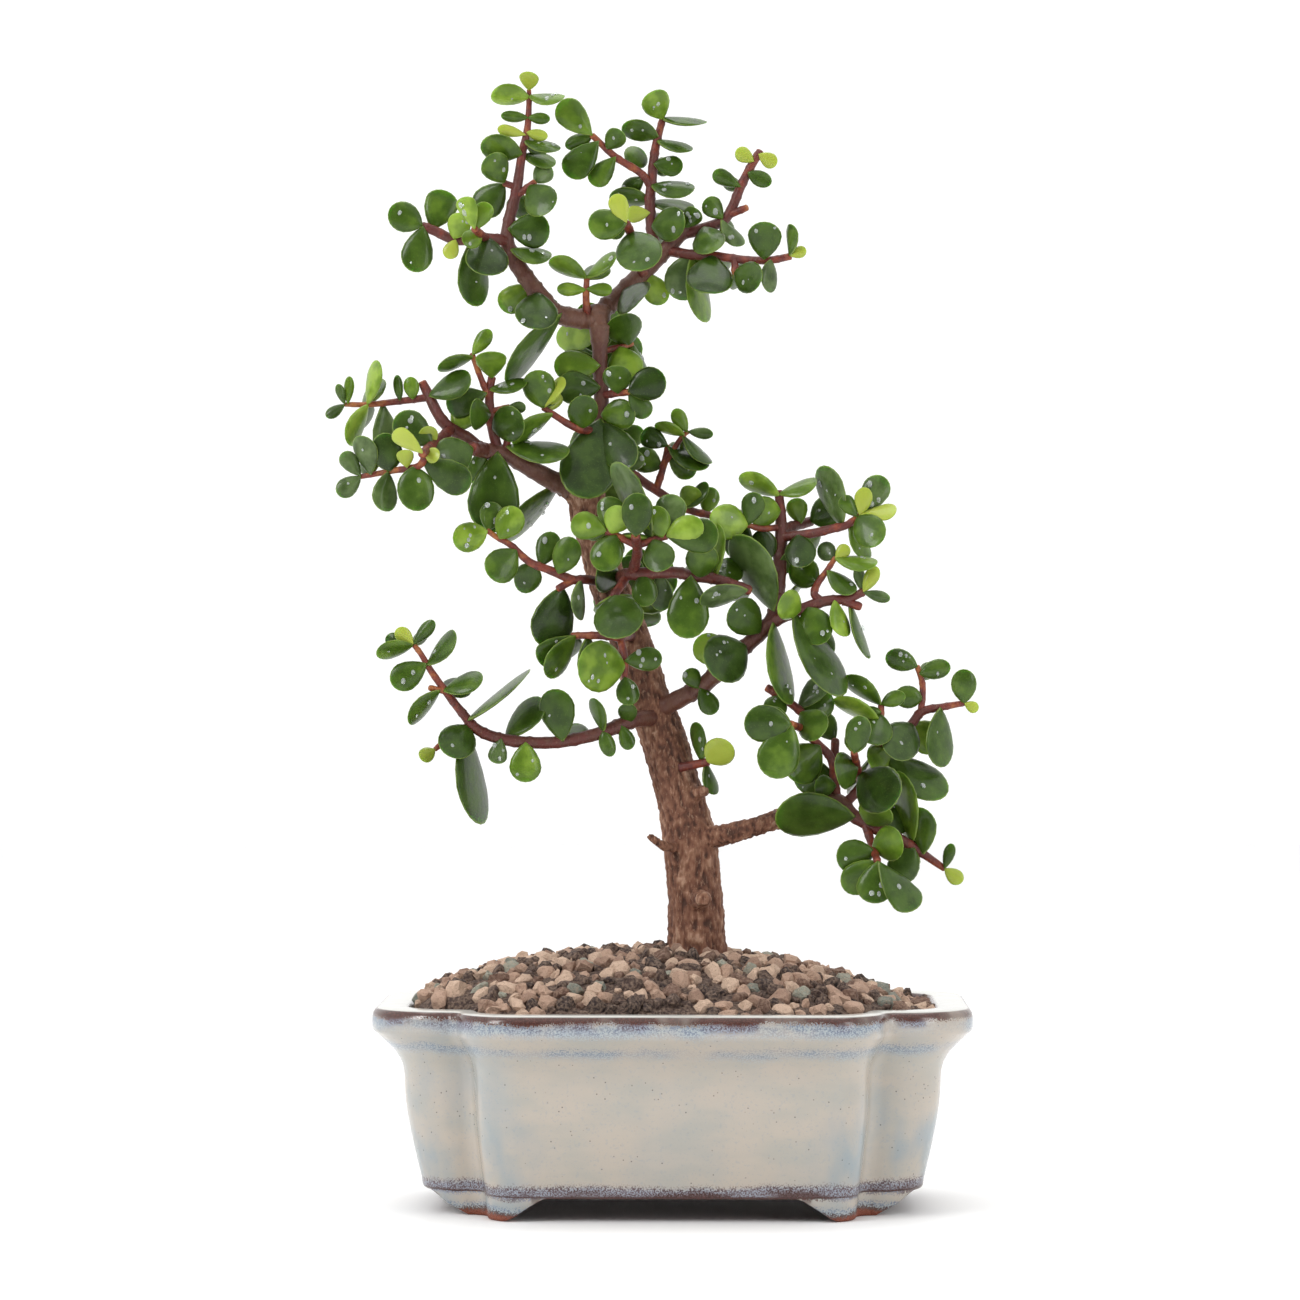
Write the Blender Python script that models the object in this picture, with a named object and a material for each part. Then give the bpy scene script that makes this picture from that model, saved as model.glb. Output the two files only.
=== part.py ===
"""Dwarf jade bonsai in a glazed quatrefoil pot, in metres with +Z up.

The plant is laid out in millimetres as it is seen from the front. Each reading
(x, z) lies in the plane of the trunk, and a depth slides it along its line of
sight, away from the viewer where the depth is positive.
"""
import math
import random

import bmesh
import bpy
from mathutils import Matrix, Vector
from mathutils.bvhtree import BVHTree

MM = 0.001
GAP = 0.3
JOINT_GAP = 0.45
SHORTEST_EDGE = 0.42
STEEPEST_TURN = 0.8

# Viewer of the readings: where the eye stands, and how far the pot is turned to it
EYE_X, EYE_DISTANCE, EYE_HEIGHT = -6.5, 1350.0, 153.0
POT_TURN = math.radians(1.0)
DEPTH_SPREAD = 1.8

# Pot: two crossed rounded rectangles, inset ring by ring down the profile
POT_HEIGHT = 56.0
LONG_HALF, LONG_HALF_DEPTH, LONG_CORNER = 81.4, 45.0, 20.0
SHORT_HALF, SHORT_HALF_DEPTH, SHORT_CORNER = 57.0, 62.5, 16.0
NOTCH_RADIUS, NOTCH_GROWTH, NOTCH_INSET = 3.5, 0.15, 0.5
FOOT_HEIGHT = 6.2
UNDERSIDE_INSET = 14.8
FLOOR_TOP = 13.5
FLOOR_INSET, INNER_TOP_INSET, INNER_TOP = 16.5, 10.4, 54.6
OUTER_PROFILE = ((13.1, 7.2), (12.7, 9.5), (10.4, 19.5), (8.6, 30.0), (8.0, 39.0), (6.2, 43.4), (2.8, 47.2),
                 (0.0, 50.0), (0.0, 54.6), (1.4, 56.0))
INNER_PROFILE = ((9.4, 56.0), (10.4, 54.6))
FOOT_FLAT, FOOT_REACH, FOOT_WALL, FOOT_INSET = 10.0, 25.5, 7.0, 13.4
FOOT_OVERLAP, FOOT_EDGE, FOOT_LEAN, FOOT_RUNS = 1.8, 0.9, 0.12, (4.5, 10.0)
FOOT_RISE, FOOT_CURL = 0.6, 0.8
FOOT_MIDDLE = 5  # the notch's end, counted along a foot's path: a foot is widest just after it
DRAIN_X, DRAIN_RADIUS = 32.0, 6.5
SCREEN_SIDE, SCREEN_THICK, SCREEN_HOLE = 20.0, 1.5, 4.0

# Soil: a low heap whose grains are raised from its surface
SOIL_EDGE, SOIL_RISE = 55.0, 15.5
HEAP_X, HEAP_HALF, HEAP_HALF_DEPTH, HEAP_POWER = -6.0, 72.0, 53.0, 2.2
GRAIN_RELIEF = 1.5
SOIL_RINGS = (0.93, 0.84, 0.74, 0.63, 0.51, 0.39, 0.27, 0.16)
TRUNK_FOOT_X, SOIL_EYE = 6.4, 0.05

# Leaves
LEAF_THICK, YOUNG_THICK = 1.9, 1.3
LEAF_BOW, LEAF_CUP = 0.05, 0.10
BIG_LEAF = 11.5
ROLLED_FROM, ROLLED_BELOW, ROLLED_WIDTH = 8.0, 0.6, 0.74
BASE_FULLNESS = 1.35
FULL_SLOPE = 1.14
ROOT_SINK = 0.5
TILTS = (0, 9, -9, 18, -18, 28, -28, 40, -40, 52, -52)
SHRINKS = (1.0, 0.92, 0.84, 0.72)
OVER_STEM, OVER_ROOT, OVER_UP = 0.55, 0.8, 0.35
MOST_STRETCH, NEAREST_BELLY, FARTHEST_BELLY = 1.25, 0.48, 0.76
OPPOSITE_FROM, OPPOSITE_SHARE, OPPOSITE_SIZE = 7.5, 0.2, 0.9
PAIR_LENGTH = 13.5
SEED = 11


class Stem:
    """A grown stem: points (x, z, depth, diameter) read from the front, in millimetres."""

    def __init__(self, *points, sides=5):
        self.points = [from_front(x, z, depth * DEPTH_SPREAD) for x, z, depth, _ in points]
        self.radii = [diameter / 2 for *_, diameter in points]
        self.sides = sides


class Spray:
    """A leafy stem: its stems, its leaves and the stem or trunk that carries it.

    An oval leaf is (x, z, width, height, marks) and a blade leaf is (root x,
    root z, tip x, tip z, width, marks). The marks are b for one that grows
    away from the viewer, and y for a young one. A spray at the back has so
    many pairs of leaves instead, each turned a quarter from the last.
    """

    def __init__(self, name, parent, stems, ovals=(), blades=(), pairs=0):
        self.name = name
        self.parent = parent
        self.stems = stems
        self.ovals = ovals
        self.blades = blades
        self.pairs = pairs


def from_front(x, z, depth=0.0):
    """Return the point seen at (x, z) from the front, at a depth behind the trunk's plane."""
    spread = 1 + depth / EYE_DISTANCE
    return Vector((EYE_X + (x - EYE_X) * spread, depth, EYE_HEIGHT + (z - EYE_HEIGHT) * spread))


def clear_scene():
    for item in list(bpy.data.objects):
        bpy.data.objects.remove(item, do_unlink=True)


def material(name, colour, roughness):
    found = bpy.data.materials.get(name)
    if found:
        return found
    made = bpy.data.materials.new(name)
    made.use_nodes = True
    shader = made.node_tree.nodes["Principled BSDF"]
    shader.inputs["Base Color"].default_value = (*colour, 1.0)
    shader.inputs["Roughness"].default_value = roughness
    shader.inputs["Metallic"].default_value = 0.0
    made.diffuse_color = (*colour, 1.0)
    return made


def new_object(name, points, faces):
    """Make an object of a mesh given in millimetres."""
    mesh = bpy.data.meshes.new(name)
    mesh.from_pydata([Vector(p) * MM for p in points], [], faces)
    mesh.validate()
    made = bpy.data.objects.new(name, mesh)
    bpy.context.scene.collection.objects.link(made)
    return made


def take_modified_mesh(body):
    """Replace an object's mesh by what its modifiers make of it."""
    depsgraph = bpy.context.evaluated_depsgraph_get()
    mesh = bpy.data.meshes.new_from_object(body.evaluated_get(depsgraph))
    body.modifiers.clear()
    body.data = mesh


def combine(body, others, operation):
    """Unite the others with a body or cut them from it, then remove them."""
    group = bpy.data.collections.new("operands")
    bpy.context.scene.collection.children.link(group)
    for other in others:
        group.objects.link(other)
    modifier = body.modifiers.new(operation.lower(), "BOOLEAN")
    modifier.operation = operation
    modifier.operand_type = "COLLECTION"
    modifier.collection = group
    modifier.solver = "EXACT"
    take_modified_mesh(body)
    for other in others:
        bpy.data.objects.remove(other, do_unlink=True)
    bpy.data.collections.remove(group)
    return body


def split_to_triangles(body):
    """Split a body's faces into triangles."""
    mesh = bmesh.new()
    mesh.from_mesh(body.data)
    bmesh.ops.triangulate(mesh, faces=mesh.faces)
    mesh.to_mesh(body.data)
    mesh.free()


def drop_scraps(body, shortest=0.05):
    """Keep only the largest connected piece of a body, with faces out and no edge too short to matter."""
    mesh = bmesh.new()
    mesh.from_mesh(body.data)
    unseen = set(mesh.verts)
    islands = []
    while unseen:
        edge = [unseen.pop()]
        island = list(edge)
        while edge:
            corner = edge.pop()
            for link in corner.link_edges:
                other = link.other_vert(corner)
                if other in unseen:
                    unseen.discard(other)
                    edge.append(other)
                    island.append(other)
        islands.append(island)
    islands.sort(key=len, reverse=True)
    for island in islands[1:]:
        bmesh.ops.delete(mesh, geom=island, context="VERTS")
    bmesh.ops.triangulate(mesh, faces=mesh.faces)
    collapse_short_edges(mesh, shortest * MM)
    bmesh.ops.recalc_face_normals(mesh, faces=mesh.faces)
    mesh.to_mesh(body.data)
    mesh.free()
    return body


def stays_open(corner, gone, target):
    """Tell whether the faces at a corner keep their side when the corner moves to the target."""
    for face in corner.link_faces:
        if gone in face.verts:
            continue
        moved = [target if v is corner else v.co for v in face.verts]
        normal = (moved[1] - moved[0]).cross(moved[2] - moved[0])
        if normal.length < 1e-12 or normal.normalized().dot(face.normal) < STEEPEST_TURN:
            return False
    return True


def collapse_short_edges(mesh, shortest):
    """Merge the ends of edges too short to matter, wherever the surface stays closed and unfolded."""
    mesh.normal_update()
    short = sorted((e for e in mesh.edges if e.calc_length() < shortest), key=lambda e: e.calc_length())
    for edge in short:
        if not edge.is_valid or edge.calc_length() >= shortest:
            continue
        first, second = edge.verts
        near = {e.other_vert(first) for e in first.link_edges}
        shared = near & {e.other_vert(second) for e in second.link_edges}
        if len(shared) != 2 or len(edge.link_faces) != 2:
            continue
        for kept, lost in ((first, second), (second, first)):
            if stays_open(lost, kept, kept.co):
                bmesh.ops.pointmerge(mesh, verts=[kept, lost], merge_co=kept.co.copy())
                mesh.normal_update()
                break


# Pot

def arc(cx, cy, radius, start, end, steps):
    """Return the points of an arc between two angles in degrees, both ends included."""
    angles = [math.radians(start + (end - start) * i / steps) for i in range(steps + 1)]
    return [(cx + radius * math.cos(a), cy + radius * math.sin(a)) for a in angles]


def pot_corner(inset):
    """Return the notch and the short side's corner that follows it, inset evenly."""
    short_half, short_depth = SHORT_HALF - NOTCH_INSET * inset, SHORT_HALF_DEPTH - inset
    radius = SHORT_CORNER - 0.4 * inset
    notch = NOTCH_RADIUS + NOTCH_GROWTH * inset
    path = arc(short_half + notch, LONG_HALF_DEPTH - inset + notch, notch, 270, 184, 2)
    path += arc(short_half - radius, short_depth - radius, radius, 12, 90, 3)
    return path


def pot_outline(inset):
    """Return the quatrefoil outline, inset evenly, counter-clockwise from +X."""
    long_half, long_depth = LONG_HALF - inset, LONG_HALF_DEPTH - inset
    corner = LONG_CORNER - 0.5 * inset
    quarter = [(long_half, long_depth * 0.22)]
    quarter += arc(long_half - corner, long_depth - corner, corner, 0, 78, 3)
    quarter += pot_corner(inset)
    quarter += [((SHORT_HALF - inset) * 0.36, SHORT_HALF_DEPTH - inset)]
    left = [(-x, y) for x, y in reversed(quarter)]
    back = quarter + left
    return back + [(-x, -y) for x, y in back]


def ring_mesh(rings):
    """Skin closed rings of equal length, in order, and cap the first and the last."""
    points = [p for ring in rings for p in ring]
    count = len(rings[0])
    faces = [tuple(reversed(range(count)))]
    for k in range(len(rings) - 1):
        low, high = k * count, (k + 1) * count
        for i in range(count):
            j = (i + 1) % count
            faces.append((low + i, low + j, high + j, high + i))
    faces.append(tuple(range((len(rings) - 1) * count, len(rings) * count)))
    return points, faces


def foot_lift(distance):
    """Return the height of a foot's lower edge at a distance from its middle: flat, then a cyma."""
    run = min(max((abs(distance) - FOOT_FLAT) / (FOOT_REACH - FOOT_FLAT), 0.0), 1.0)
    return (FOOT_HEIGHT + FOOT_RISE) * (0.5 - 0.5 * math.cos(math.pi * run)) ** FOOT_CURL


def pot_foot(side_x, side_y):
    """Make one cloud foot that wraps a notch and the corners on both sides of it."""
    def foot_path(inset):
        corner = LONG_CORNER - 0.5 * inset
        bend = arc(LONG_HALF - inset - corner, LONG_HALF_DEPTH - inset - corner, corner, 20, 60, 2)
        bend += pot_corner(inset)
        end_x, end_y = bend[-1]
        return [*bend, *((end_x - run, end_y) for run in FOOT_RUNS)]

    outer, inner = foot_path(FOOT_INSET), foot_path(FOOT_INSET + FOOT_WALL)
    along = [0.0]
    for (ax, ay), (bx, by) in zip(outer, outer[1:]):
        along.append(along[-1] + math.hypot(bx - ax, by - ay))
    middle = (along[FOOT_MIDDLE] + along[FOOT_MIDDLE + 1]) / 2
    top = FOOT_HEIGHT + FOOT_OVERLAP
    sections = []
    for (ox, oy), (ix, iy), s in zip(outer, inner, along):
        low = min(foot_lift(s - middle), top - FOOT_EDGE)
        lean = FOOT_LEAN * (top - low)
        slide = Vector((ix - ox, iy - oy)).normalized() * lean
        sections.append([(ox, oy, top), (ix, iy, top), (ix, iy, low), (ox + slide.x, oy + slide.y, low)])
    points = [(side_x * x, side_y * y, z) for section in sections for x, y, z in section]
    faces = [(3, 2, 1, 0)]
    for k in range(len(sections) - 1):
        low, high = 4 * k, 4 * (k + 1)
        faces += [(low + i, low + (i + 1) % 4, high + (i + 1) % 4, high + i) for i in range(4)]
    last = 4 * (len(sections) - 1)
    faces.append((last, last + 1, last + 2, last + 3))
    if side_x * side_y > 0:
        faces = [tuple(reversed(face)) for face in faces]
    return new_object("foot", points, faces)


def drain_hole(side):
    """Make the cutter of one drain hole through the pot's floor."""
    ring = arc(side * DRAIN_X, 0.0, DRAIN_RADIUS, 0, 360, 12)[:-1]
    return new_object("drain", *ring_mesh([[(x, y, z) for x, y in ring] for z in (4.0, FLOOR_TOP + 4.0)]))


def build_pot():
    """Build the pot: walls, wide rim, four cloud feet and two drain holes."""
    profile = ((UNDERSIDE_INSET, FOOT_HEIGHT), *OUTER_PROFILE, *INNER_PROFILE, (FLOOR_INSET, FLOOR_TOP))
    rings = [[(x, y, z) for x, y in pot_outline(inset)] for inset, z in profile]
    pot = new_object("pot", *ring_mesh(rings))
    combine(pot, [pot_foot(x, y) for x in (-1, 1) for y in (-1, 1)], "UNION")
    combine(pot, [drain_hole(side) for side in (-1, 1)], "DIFFERENCE")
    return drop_scraps(pot)


def box(name, centre, size):
    """Make an axis-aligned box."""
    points = [Vector(centre) + Vector((sx * size[0], sy * size[1], sz * size[2])) / 2
              for sz in (-1, 1) for sx, sy in ((-1, -1), (1, -1), (1, 1), (-1, 1))]
    faces = [(3, 2, 1, 0), (4, 5, 6, 7), (0, 1, 5, 4), (1, 2, 6, 5), (2, 3, 7, 6), (3, 0, 4, 7)]
    return new_object(name, points, faces)


def build_screen(name, side):
    """Build one plastic drain screen, a square plate with four square holes, over a drain hole."""
    z = FLOOR_TOP + GAP + SCREEN_THICK / 2
    screen = box(name, (side * DRAIN_X, 0, z), (SCREEN_SIDE, SCREEN_SIDE, SCREEN_THICK))
    pitch = SCREEN_SIDE * 0.2
    holes = [box("hole", (side * DRAIN_X + i * pitch, j * pitch, z), (SCREEN_HOLE, SCREEN_HOLE, 3 * SCREEN_THICK))
             for i in (-1, 1) for j in (-1, 1)]
    return drop_scraps(combine(screen, holes, "DIFFERENCE"))


# Soil

def soil_height(x, y):
    """Return the height of the heaped soil without its grains."""
    across = min(abs(x - HEAP_X) / HEAP_HALF, 1.0) ** HEAP_POWER
    along = min(abs(y) / HEAP_HALF_DEPTH, 1.0) ** HEAP_POWER
    return SOIL_EDGE + SOIL_RISE * (1 - across) * (1 - along)


def build_soil(trunk_hole):
    """Build the soil: it fills the pot, clears the screens and has a plain hole for the trunk."""
    def inner_inset(z):
        share = (z - FLOOR_TOP) / (INNER_TOP - FLOOR_TOP)
        return FLOOR_INSET + (INNER_TOP_INSET - FLOOR_INSET) * share + GAP

    base, shoulder = FLOOR_TOP + GAP, SOIL_EDGE - 1.6
    rings = [[(x, y, base) for x, y in pot_outline(inner_inset(base))]]
    edge = pot_outline(inner_inset(shoulder))
    rings.append([(x, y, shoulder) for x, y in edge])
    chance = random.Random(SEED)
    for scale in SOIL_RINGS:
        ring = []
        for edge_x, edge_y in edge:
            x = TRUNK_FOOT_X + (edge_x - TRUNK_FOOT_X) * scale
            y = edge_y * scale
            ring.append((x, y, soil_height(x, y) + chance.uniform(-GRAIN_RELIEF, GRAIN_RELIEF)))
        rings.append(ring)
    rings.append([(TRUNK_FOOT_X + (x - TRUNK_FOOT_X) * SOIL_EYE, y * SOIL_EYE, SOIL_EDGE) for x, y in edge])
    soil = new_object("soil", *ring_mesh(rings))
    side = SCREEN_SIDE + 2 * GAP
    height = 2 * (SCREEN_THICK + 2 * GAP)
    for body in (soil, trunk_hole):
        split_to_triangles(body)
    pockets = [box("pocket", (x, 0, FLOOR_TOP), (side, side, height)) for x in (-DRAIN_X, DRAIN_X)]
    return drop_scraps(combine(soil, [*pockets, trunk_hole], "DIFFERENCE"), SHORTEST_EDGE)


# Stems

def tube(name, stem, grow=0.0):
    """Skin one stem with rings that lean with its bends; grow makes it larger all round."""
    points, radii, sides = list(stem.points), [r + grow for r in stem.radii], stem.sides
    points[0] = points[0] + (points[0] - points[1]).normalized() * grow
    points[-1] = points[-1] + (points[-1] - points[-2]).normalized() * grow
    forward = [(b - a).normalized() for a, b in zip(points, points[1:])]
    headings = [forward[0]] + [(a + b).normalized() for a, b in zip(forward, forward[1:])] + [forward[-1]]
    side = headings[0].orthogonal().normalized()
    rings = []
    for point, heading, radius in zip(points, headings, radii):
        side = (side - heading * side.dot(heading)).normalized()
        other = heading.cross(side)
        angles = [2 * math.pi * i / sides for i in range(sides)]
        rings.append([point + radius * (side * math.cos(a) + other * math.sin(a)) for a in angles])
    return new_object(name, *ring_mesh(rings))


def fuse_stems(name, stems, grow=0.0):
    """Unite stems into one body."""
    first, *rest = [tube(name, stem, grow) for stem in stems]
    if rest:
        combine(first, rest, "UNION")
    first.name = name
    return first


# Leaves

class Leaf:
    """One blade: where it is rooted, how it lies and how large it is, in millimetres."""

    def __init__(self, root, axis, across, length, width, belly, thick):
        self.root = root
        self.axis = axis
        self.across = across
        self.length = length
        self.width = width
        self.belly = belly
        self.thick = thick

    def tilted(self, degrees, shrink):
        """Return a copy swung about its root, towards the viewer where degrees are positive.

        It is made longer or shorter, so that it is seen as long as before.
        """
        axis = Matrix.Rotation(math.radians(degrees), 3, self.across) @ self.axis
        stretch = math.hypot(self.axis.x, self.axis.z) / max(math.hypot(axis.x, axis.z), 0.01)
        return Leaf(self.root, axis, self.across, self.length * shrink * min(stretch, MOST_STRETCH),
                    self.width * shrink, self.belly, self.thick)

    def steps(self):
        """Return how finely the leaf is made: a long leaf has one ring more."""
        return 4 if self.length > BIG_LEAF else 3

    def outline(self, angle):
        """Return how far along and how far out the rim lies at an angle from root (0) to tip (pi)."""
        if angle <= math.pi / 2:
            fullness = BASE_FULLNESS + 3.2 * max(self.belly - 0.5, 0.0)
            return self.belly * (1 - math.cos(angle)), math.sin(angle) ** fullness
        return self.belly - (1 - self.belly) * math.cos(angle), math.sin(angle)

    def mesh(self, steps, grow=0.0, start=0):
        """Return the points and faces of the lens-shaped blade, from rim step start on."""
        normal = self.axis.cross(self.across)
        half = self.width / 2 + grow

        def place(along, out, lift):
            bow = LEAF_BOW * self.length * math.sin(math.pi * along)
            cup = LEAF_CUP * abs(out) * half
            return (self.root + self.axis * (along * self.length) + self.across * (out * half)
                    + normal * (lift + bow + cup))

        sides = []
        for sign in (-1, 1):
            rim = []
            for i in range(max(start, 1), steps + 1):
                along, out = self.outline(math.pi * i / (steps + 1))
                rim.append(place(along, sign * max(out, 0.2), 0.0))
            sides.append(rim)
        tip = place(1.0 + grow / self.length, 0.0, 0.0)
        head = [] if start else [self.root - self.axis * ROOT_SINK]
        rim = head + sides[1] + [tip] + sides[0][::-1]
        count = len(rim)
        lift = self.thick / 2 + grow
        ridge = [place(self.belly, 0.0, lift), place(self.belly, 0.0, -lift)]
        faces = [(i, (i + 1) % count, count) for i in range(count)]
        faces += [((i + 1) % count, i, count + 1) for i in range(count)]
        return rim + ridge, faces


def nearest_root(stems, x, z):
    """Return the stem point whose front view lies nearest to (x, z)."""
    best = None
    for stem in stems:
        for a, b in zip(stem.points, stem.points[1:]):
            flat_a, flat_b = Vector((a.x, a.z)), Vector((b.x, b.z))
            span = flat_b - flat_a
            share = (Vector((x, z)) - flat_a).dot(span) / max(span.length_squared, 1e-6)
            share = min(max(share, 0.0), 1.0)
            gap = (flat_a + span * share - Vector((x, z))).length
            if best is None or gap < best[0]:
                best = (gap, a.lerp(b, share))
    return best[1]


def lay_leaf(root, tip_x, tip_z, width, belly, marks):
    """Lay a leaf from its root to the tip seen from the front; its slope in depth follows its size."""
    behind = "b" in marks
    flat = Vector((tip_x - root.x, 0.0, tip_z - root.z))
    seen = max(flat.length, 2.0)
    rolled = width < ROLLED_BELOW * seen
    real_width = ROLLED_WIDTH * seen if rolled and seen > ROLLED_FROM else width
    length = max(seen, FULL_SLOPE * real_width)
    depth = math.sqrt(max(length * length - seen * seen, 0.0)) + 0.12 * length
    reach = Vector((flat.x, depth if behind else -depth, flat.z))
    axis = reach.normalized()
    sight = Vector((0.0, -1.0, 0.0))
    across = axis.cross(sight).normalized()
    if rolled and seen > ROLLED_FROM:
        roll = math.acos(min(width / real_width, 1.0))
        across = Matrix.Rotation(roll if across.x * flat.z <= across.z * flat.x else -roll, 3, axis) @ across
    thick = YOUNG_THICK if "y" in marks else LEAF_THICK
    return Leaf(root, axis, across, reach.length, real_width, belly, thick)


def root_over_stem(stems, x, z, reach):
    """Return the stem point at about a reach from a leaf's middle, for a leaf that hides its own stem.

    A point above the middle is taken before one below it, because such leaves hang.
    """
    best = None
    for stem in stems:
        for a, b in zip(stem.points, stem.points[1:]):
            steps = max(round((b - a).length), 1)
            for i in range(steps + 1):
                point = a.lerp(b, i / steps)
                away = Vector((x - point.x, z - point.z))
                miss = abs(away.length - reach) + OVER_UP * max(away.y, 0.0)
                if best is None or miss < best[0]:
                    best = (miss, point)
    return best[1]


def oval_leaf(stems, x, z, width, height, marks):
    """Lay an oval leaf, read as a centre and a size, from the stem nearest to it."""
    root = nearest_root(stems, x, z)
    mean_reach = (width + height) / 4
    if math.hypot(x - root.x, z - root.z) < OVER_STEM * mean_reach:
        root = root_over_stem(stems, x, z, OVER_ROOT * mean_reach)
    away = Vector((x - root.x, z - root.z))
    if away.length < 0.5:
        away = Vector((0.0, -0.5))
    heading = away.normalized()
    long_reach = 0.5 / math.hypot(heading.x / width, heading.y / height)
    cross_reach = 0.5 / math.hypot(heading.y / width, heading.x / height)
    middle = max(away.length, 0.5 * long_reach)
    tip = Vector((root.x, root.z)) + heading * (middle + long_reach)
    belly = min(max(middle / (middle + long_reach), NEAREST_BELLY), FARTHEST_BELLY)
    return lay_leaf(root, tip.x, tip.y, 2 * cross_reach, belly, marks)


def blade_leaf(stems, root_x, root_z, tip_x, tip_z, width, marks):
    """Lay a long leaf, read as its two ends and its width."""
    root = nearest_root(stems, root_x, root_z)
    return lay_leaf(root, tip_x, tip_z, width, 0.62, marks)


def opposite_leaf(leaf):
    """Return the leaf that faces another across the stem, on the side away from the viewer."""
    axis = Vector((leaf.axis.x * 0.6, abs(leaf.axis.y) + 0.5, leaf.axis.z * 0.6)).normalized()
    across = (leaf.across - axis * leaf.across.dot(axis)).normalized()
    size = OPPOSITE_SIZE
    return Leaf(leaf.root, axis, across, leaf.length * size, leaf.width * size, 0.55, leaf.thick)


def paired_leaves(stem, pairs):
    """Lay opposite pairs of leaves up a stem, each pair turned a quarter from the last."""
    leaves = []
    for k in range(pairs):
        share = 0.3 + 0.7 * k / max(pairs - 1, 1)
        spot = share * (len(stem.points) - 1)
        lower = min(int(spot), len(stem.points) - 2)
        root = stem.points[lower].lerp(stem.points[lower + 1], spot - lower)
        heading = (stem.points[lower + 1] - stem.points[lower]).normalized()
        side = heading.orthogonal().normalized()
        turn = math.radians(30 + 90 * k)
        side = Matrix.Rotation(turn, 3, heading) @ side
        length = PAIR_LENGTH * (1 - 0.4 * share)
        for sign in (-1, 1):
            axis = (side * sign + heading * 0.45).normalized()
            across = axis.cross(heading).normalized()
            leaves.append(Leaf(root, axis, across, length, 0.82 * length, 0.56, LEAF_THICK))
    return leaves


class Obstacles:
    """What a new leaf must keep clear of."""

    def __init__(self):
        self.entries = []

    def add(self, owner, points, faces):
        tree = BVHTree.FromPolygons([tuple(p) for p in points], faces)
        low = Vector([min(p[i] for p in points) for i in range(3)])
        high = Vector([max(p[i] for p in points) for i in range(3)])
        self.entries.append((owner, tree, low, high))

    def add_object(self, owner, body):
        points = [v.co / MM for v in body.data.vertices]
        self.add(owner, points, [tuple(p.vertices) for p in body.data.polygons])

    def hits(self, points, faces, wanted):
        """Tell whether a mesh crosses any entry whose owner is wanted."""
        low = Vector([min(p[i] for p in points) for i in range(3)])
        high = Vector([max(p[i] for p in points) for i in range(3)])
        tree = None
        for owner, other, other_low, other_high in self.entries:
            if not wanted(owner):
                continue
            if any(low[i] > other_high[i] or high[i] < other_low[i] for i in range(3)):
                continue
            if tree is None:
                tree = BVHTree.FromPolygons([tuple(p) for p in points], faces)
            if tree.overlap(other):
                return True
        return False


def settle(leaf, name, obstacles):
    """Bend a leaf clear of other sprays, and of its own spray's leaves where it can be; or return None."""
    fallback = None
    for shrink in SHRINKS:
        for tilt in TILTS:
            tried = leaf.tilted(tilt, shrink)
            points, faces = tried.mesh(tried.steps(), grow=GAP + 0.1)
            if obstacles.hits(points, faces, lambda owner: owner[0] != name):
                continue
            points, faces = tried.mesh(3, start=2)
            if not obstacles.hits(points, faces, lambda owner: owner[0] == name):
                return tried
            if fallback is None and shrink > SHRINKS[-1]:
                fallback = tried
    return fallback


# The trunk and its limbs, then the sprays they carry, each stem as (x, z, depth, diameter)

TRUNK_STEMS = (
    Stem((6.6, 40, 2, 15), (6.4, 56, 1, 19), (6.4, 63, 1, 18), (6.4, 70, 1, 16.8), (6.2, 82, 1, 15.3),
         (5.6, 90, 1, 14.8), (4.5, 100, 1, 15), (2.5, 110, 1, 13.2), (0.3, 118, 1, 13), (-3.3, 130, 1, 12.6),
         (-7.2, 140, 1, 12), (-10, 150, 1, 11.6), (-13.5, 160, 1, 11), (-17.5, 170, 1, 10.6), (-20.5, 180, 1, 10),
         (-23.5, 190, 1, 10), (-24, 197, 1, 10.4), (-23.4, 200.5, 1, 8.6), sides=10),
    Stem((-23.8, 195, 1, 8), (-22.6, 203.5, 1, 6.6), sides=7),
    Stem((-23, 195, 1, 8), (-31, 198.8, 0, 5.9), sides=7),
    Stem((4.5, 100.5, 1, 6.4), (13, 101.5, -2, 5.8), (22, 104, -3, 5.4), (29.5, 106.4, -3, 5.3), sides=7),
    Stem((1, 98, -2, 3), (-3, 99, -5, 2.4), (-6.5, 101.5, -6, 2)),
    Stem((7, 84, -3, 6), (8.6, 84, -8.2, 3.6)),
    Stem((6, 113, -2, 4), (9, 114.5, -4, 3)),
)
ROOTS = ((-158, 27), (-100, 21), (-35, 25), (20, 22), (75, 24), (140, 22))
ROOT_TOP, ROOT_END, ROOT_DIAMETER = 68.5, 48.0, 8.0

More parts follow.
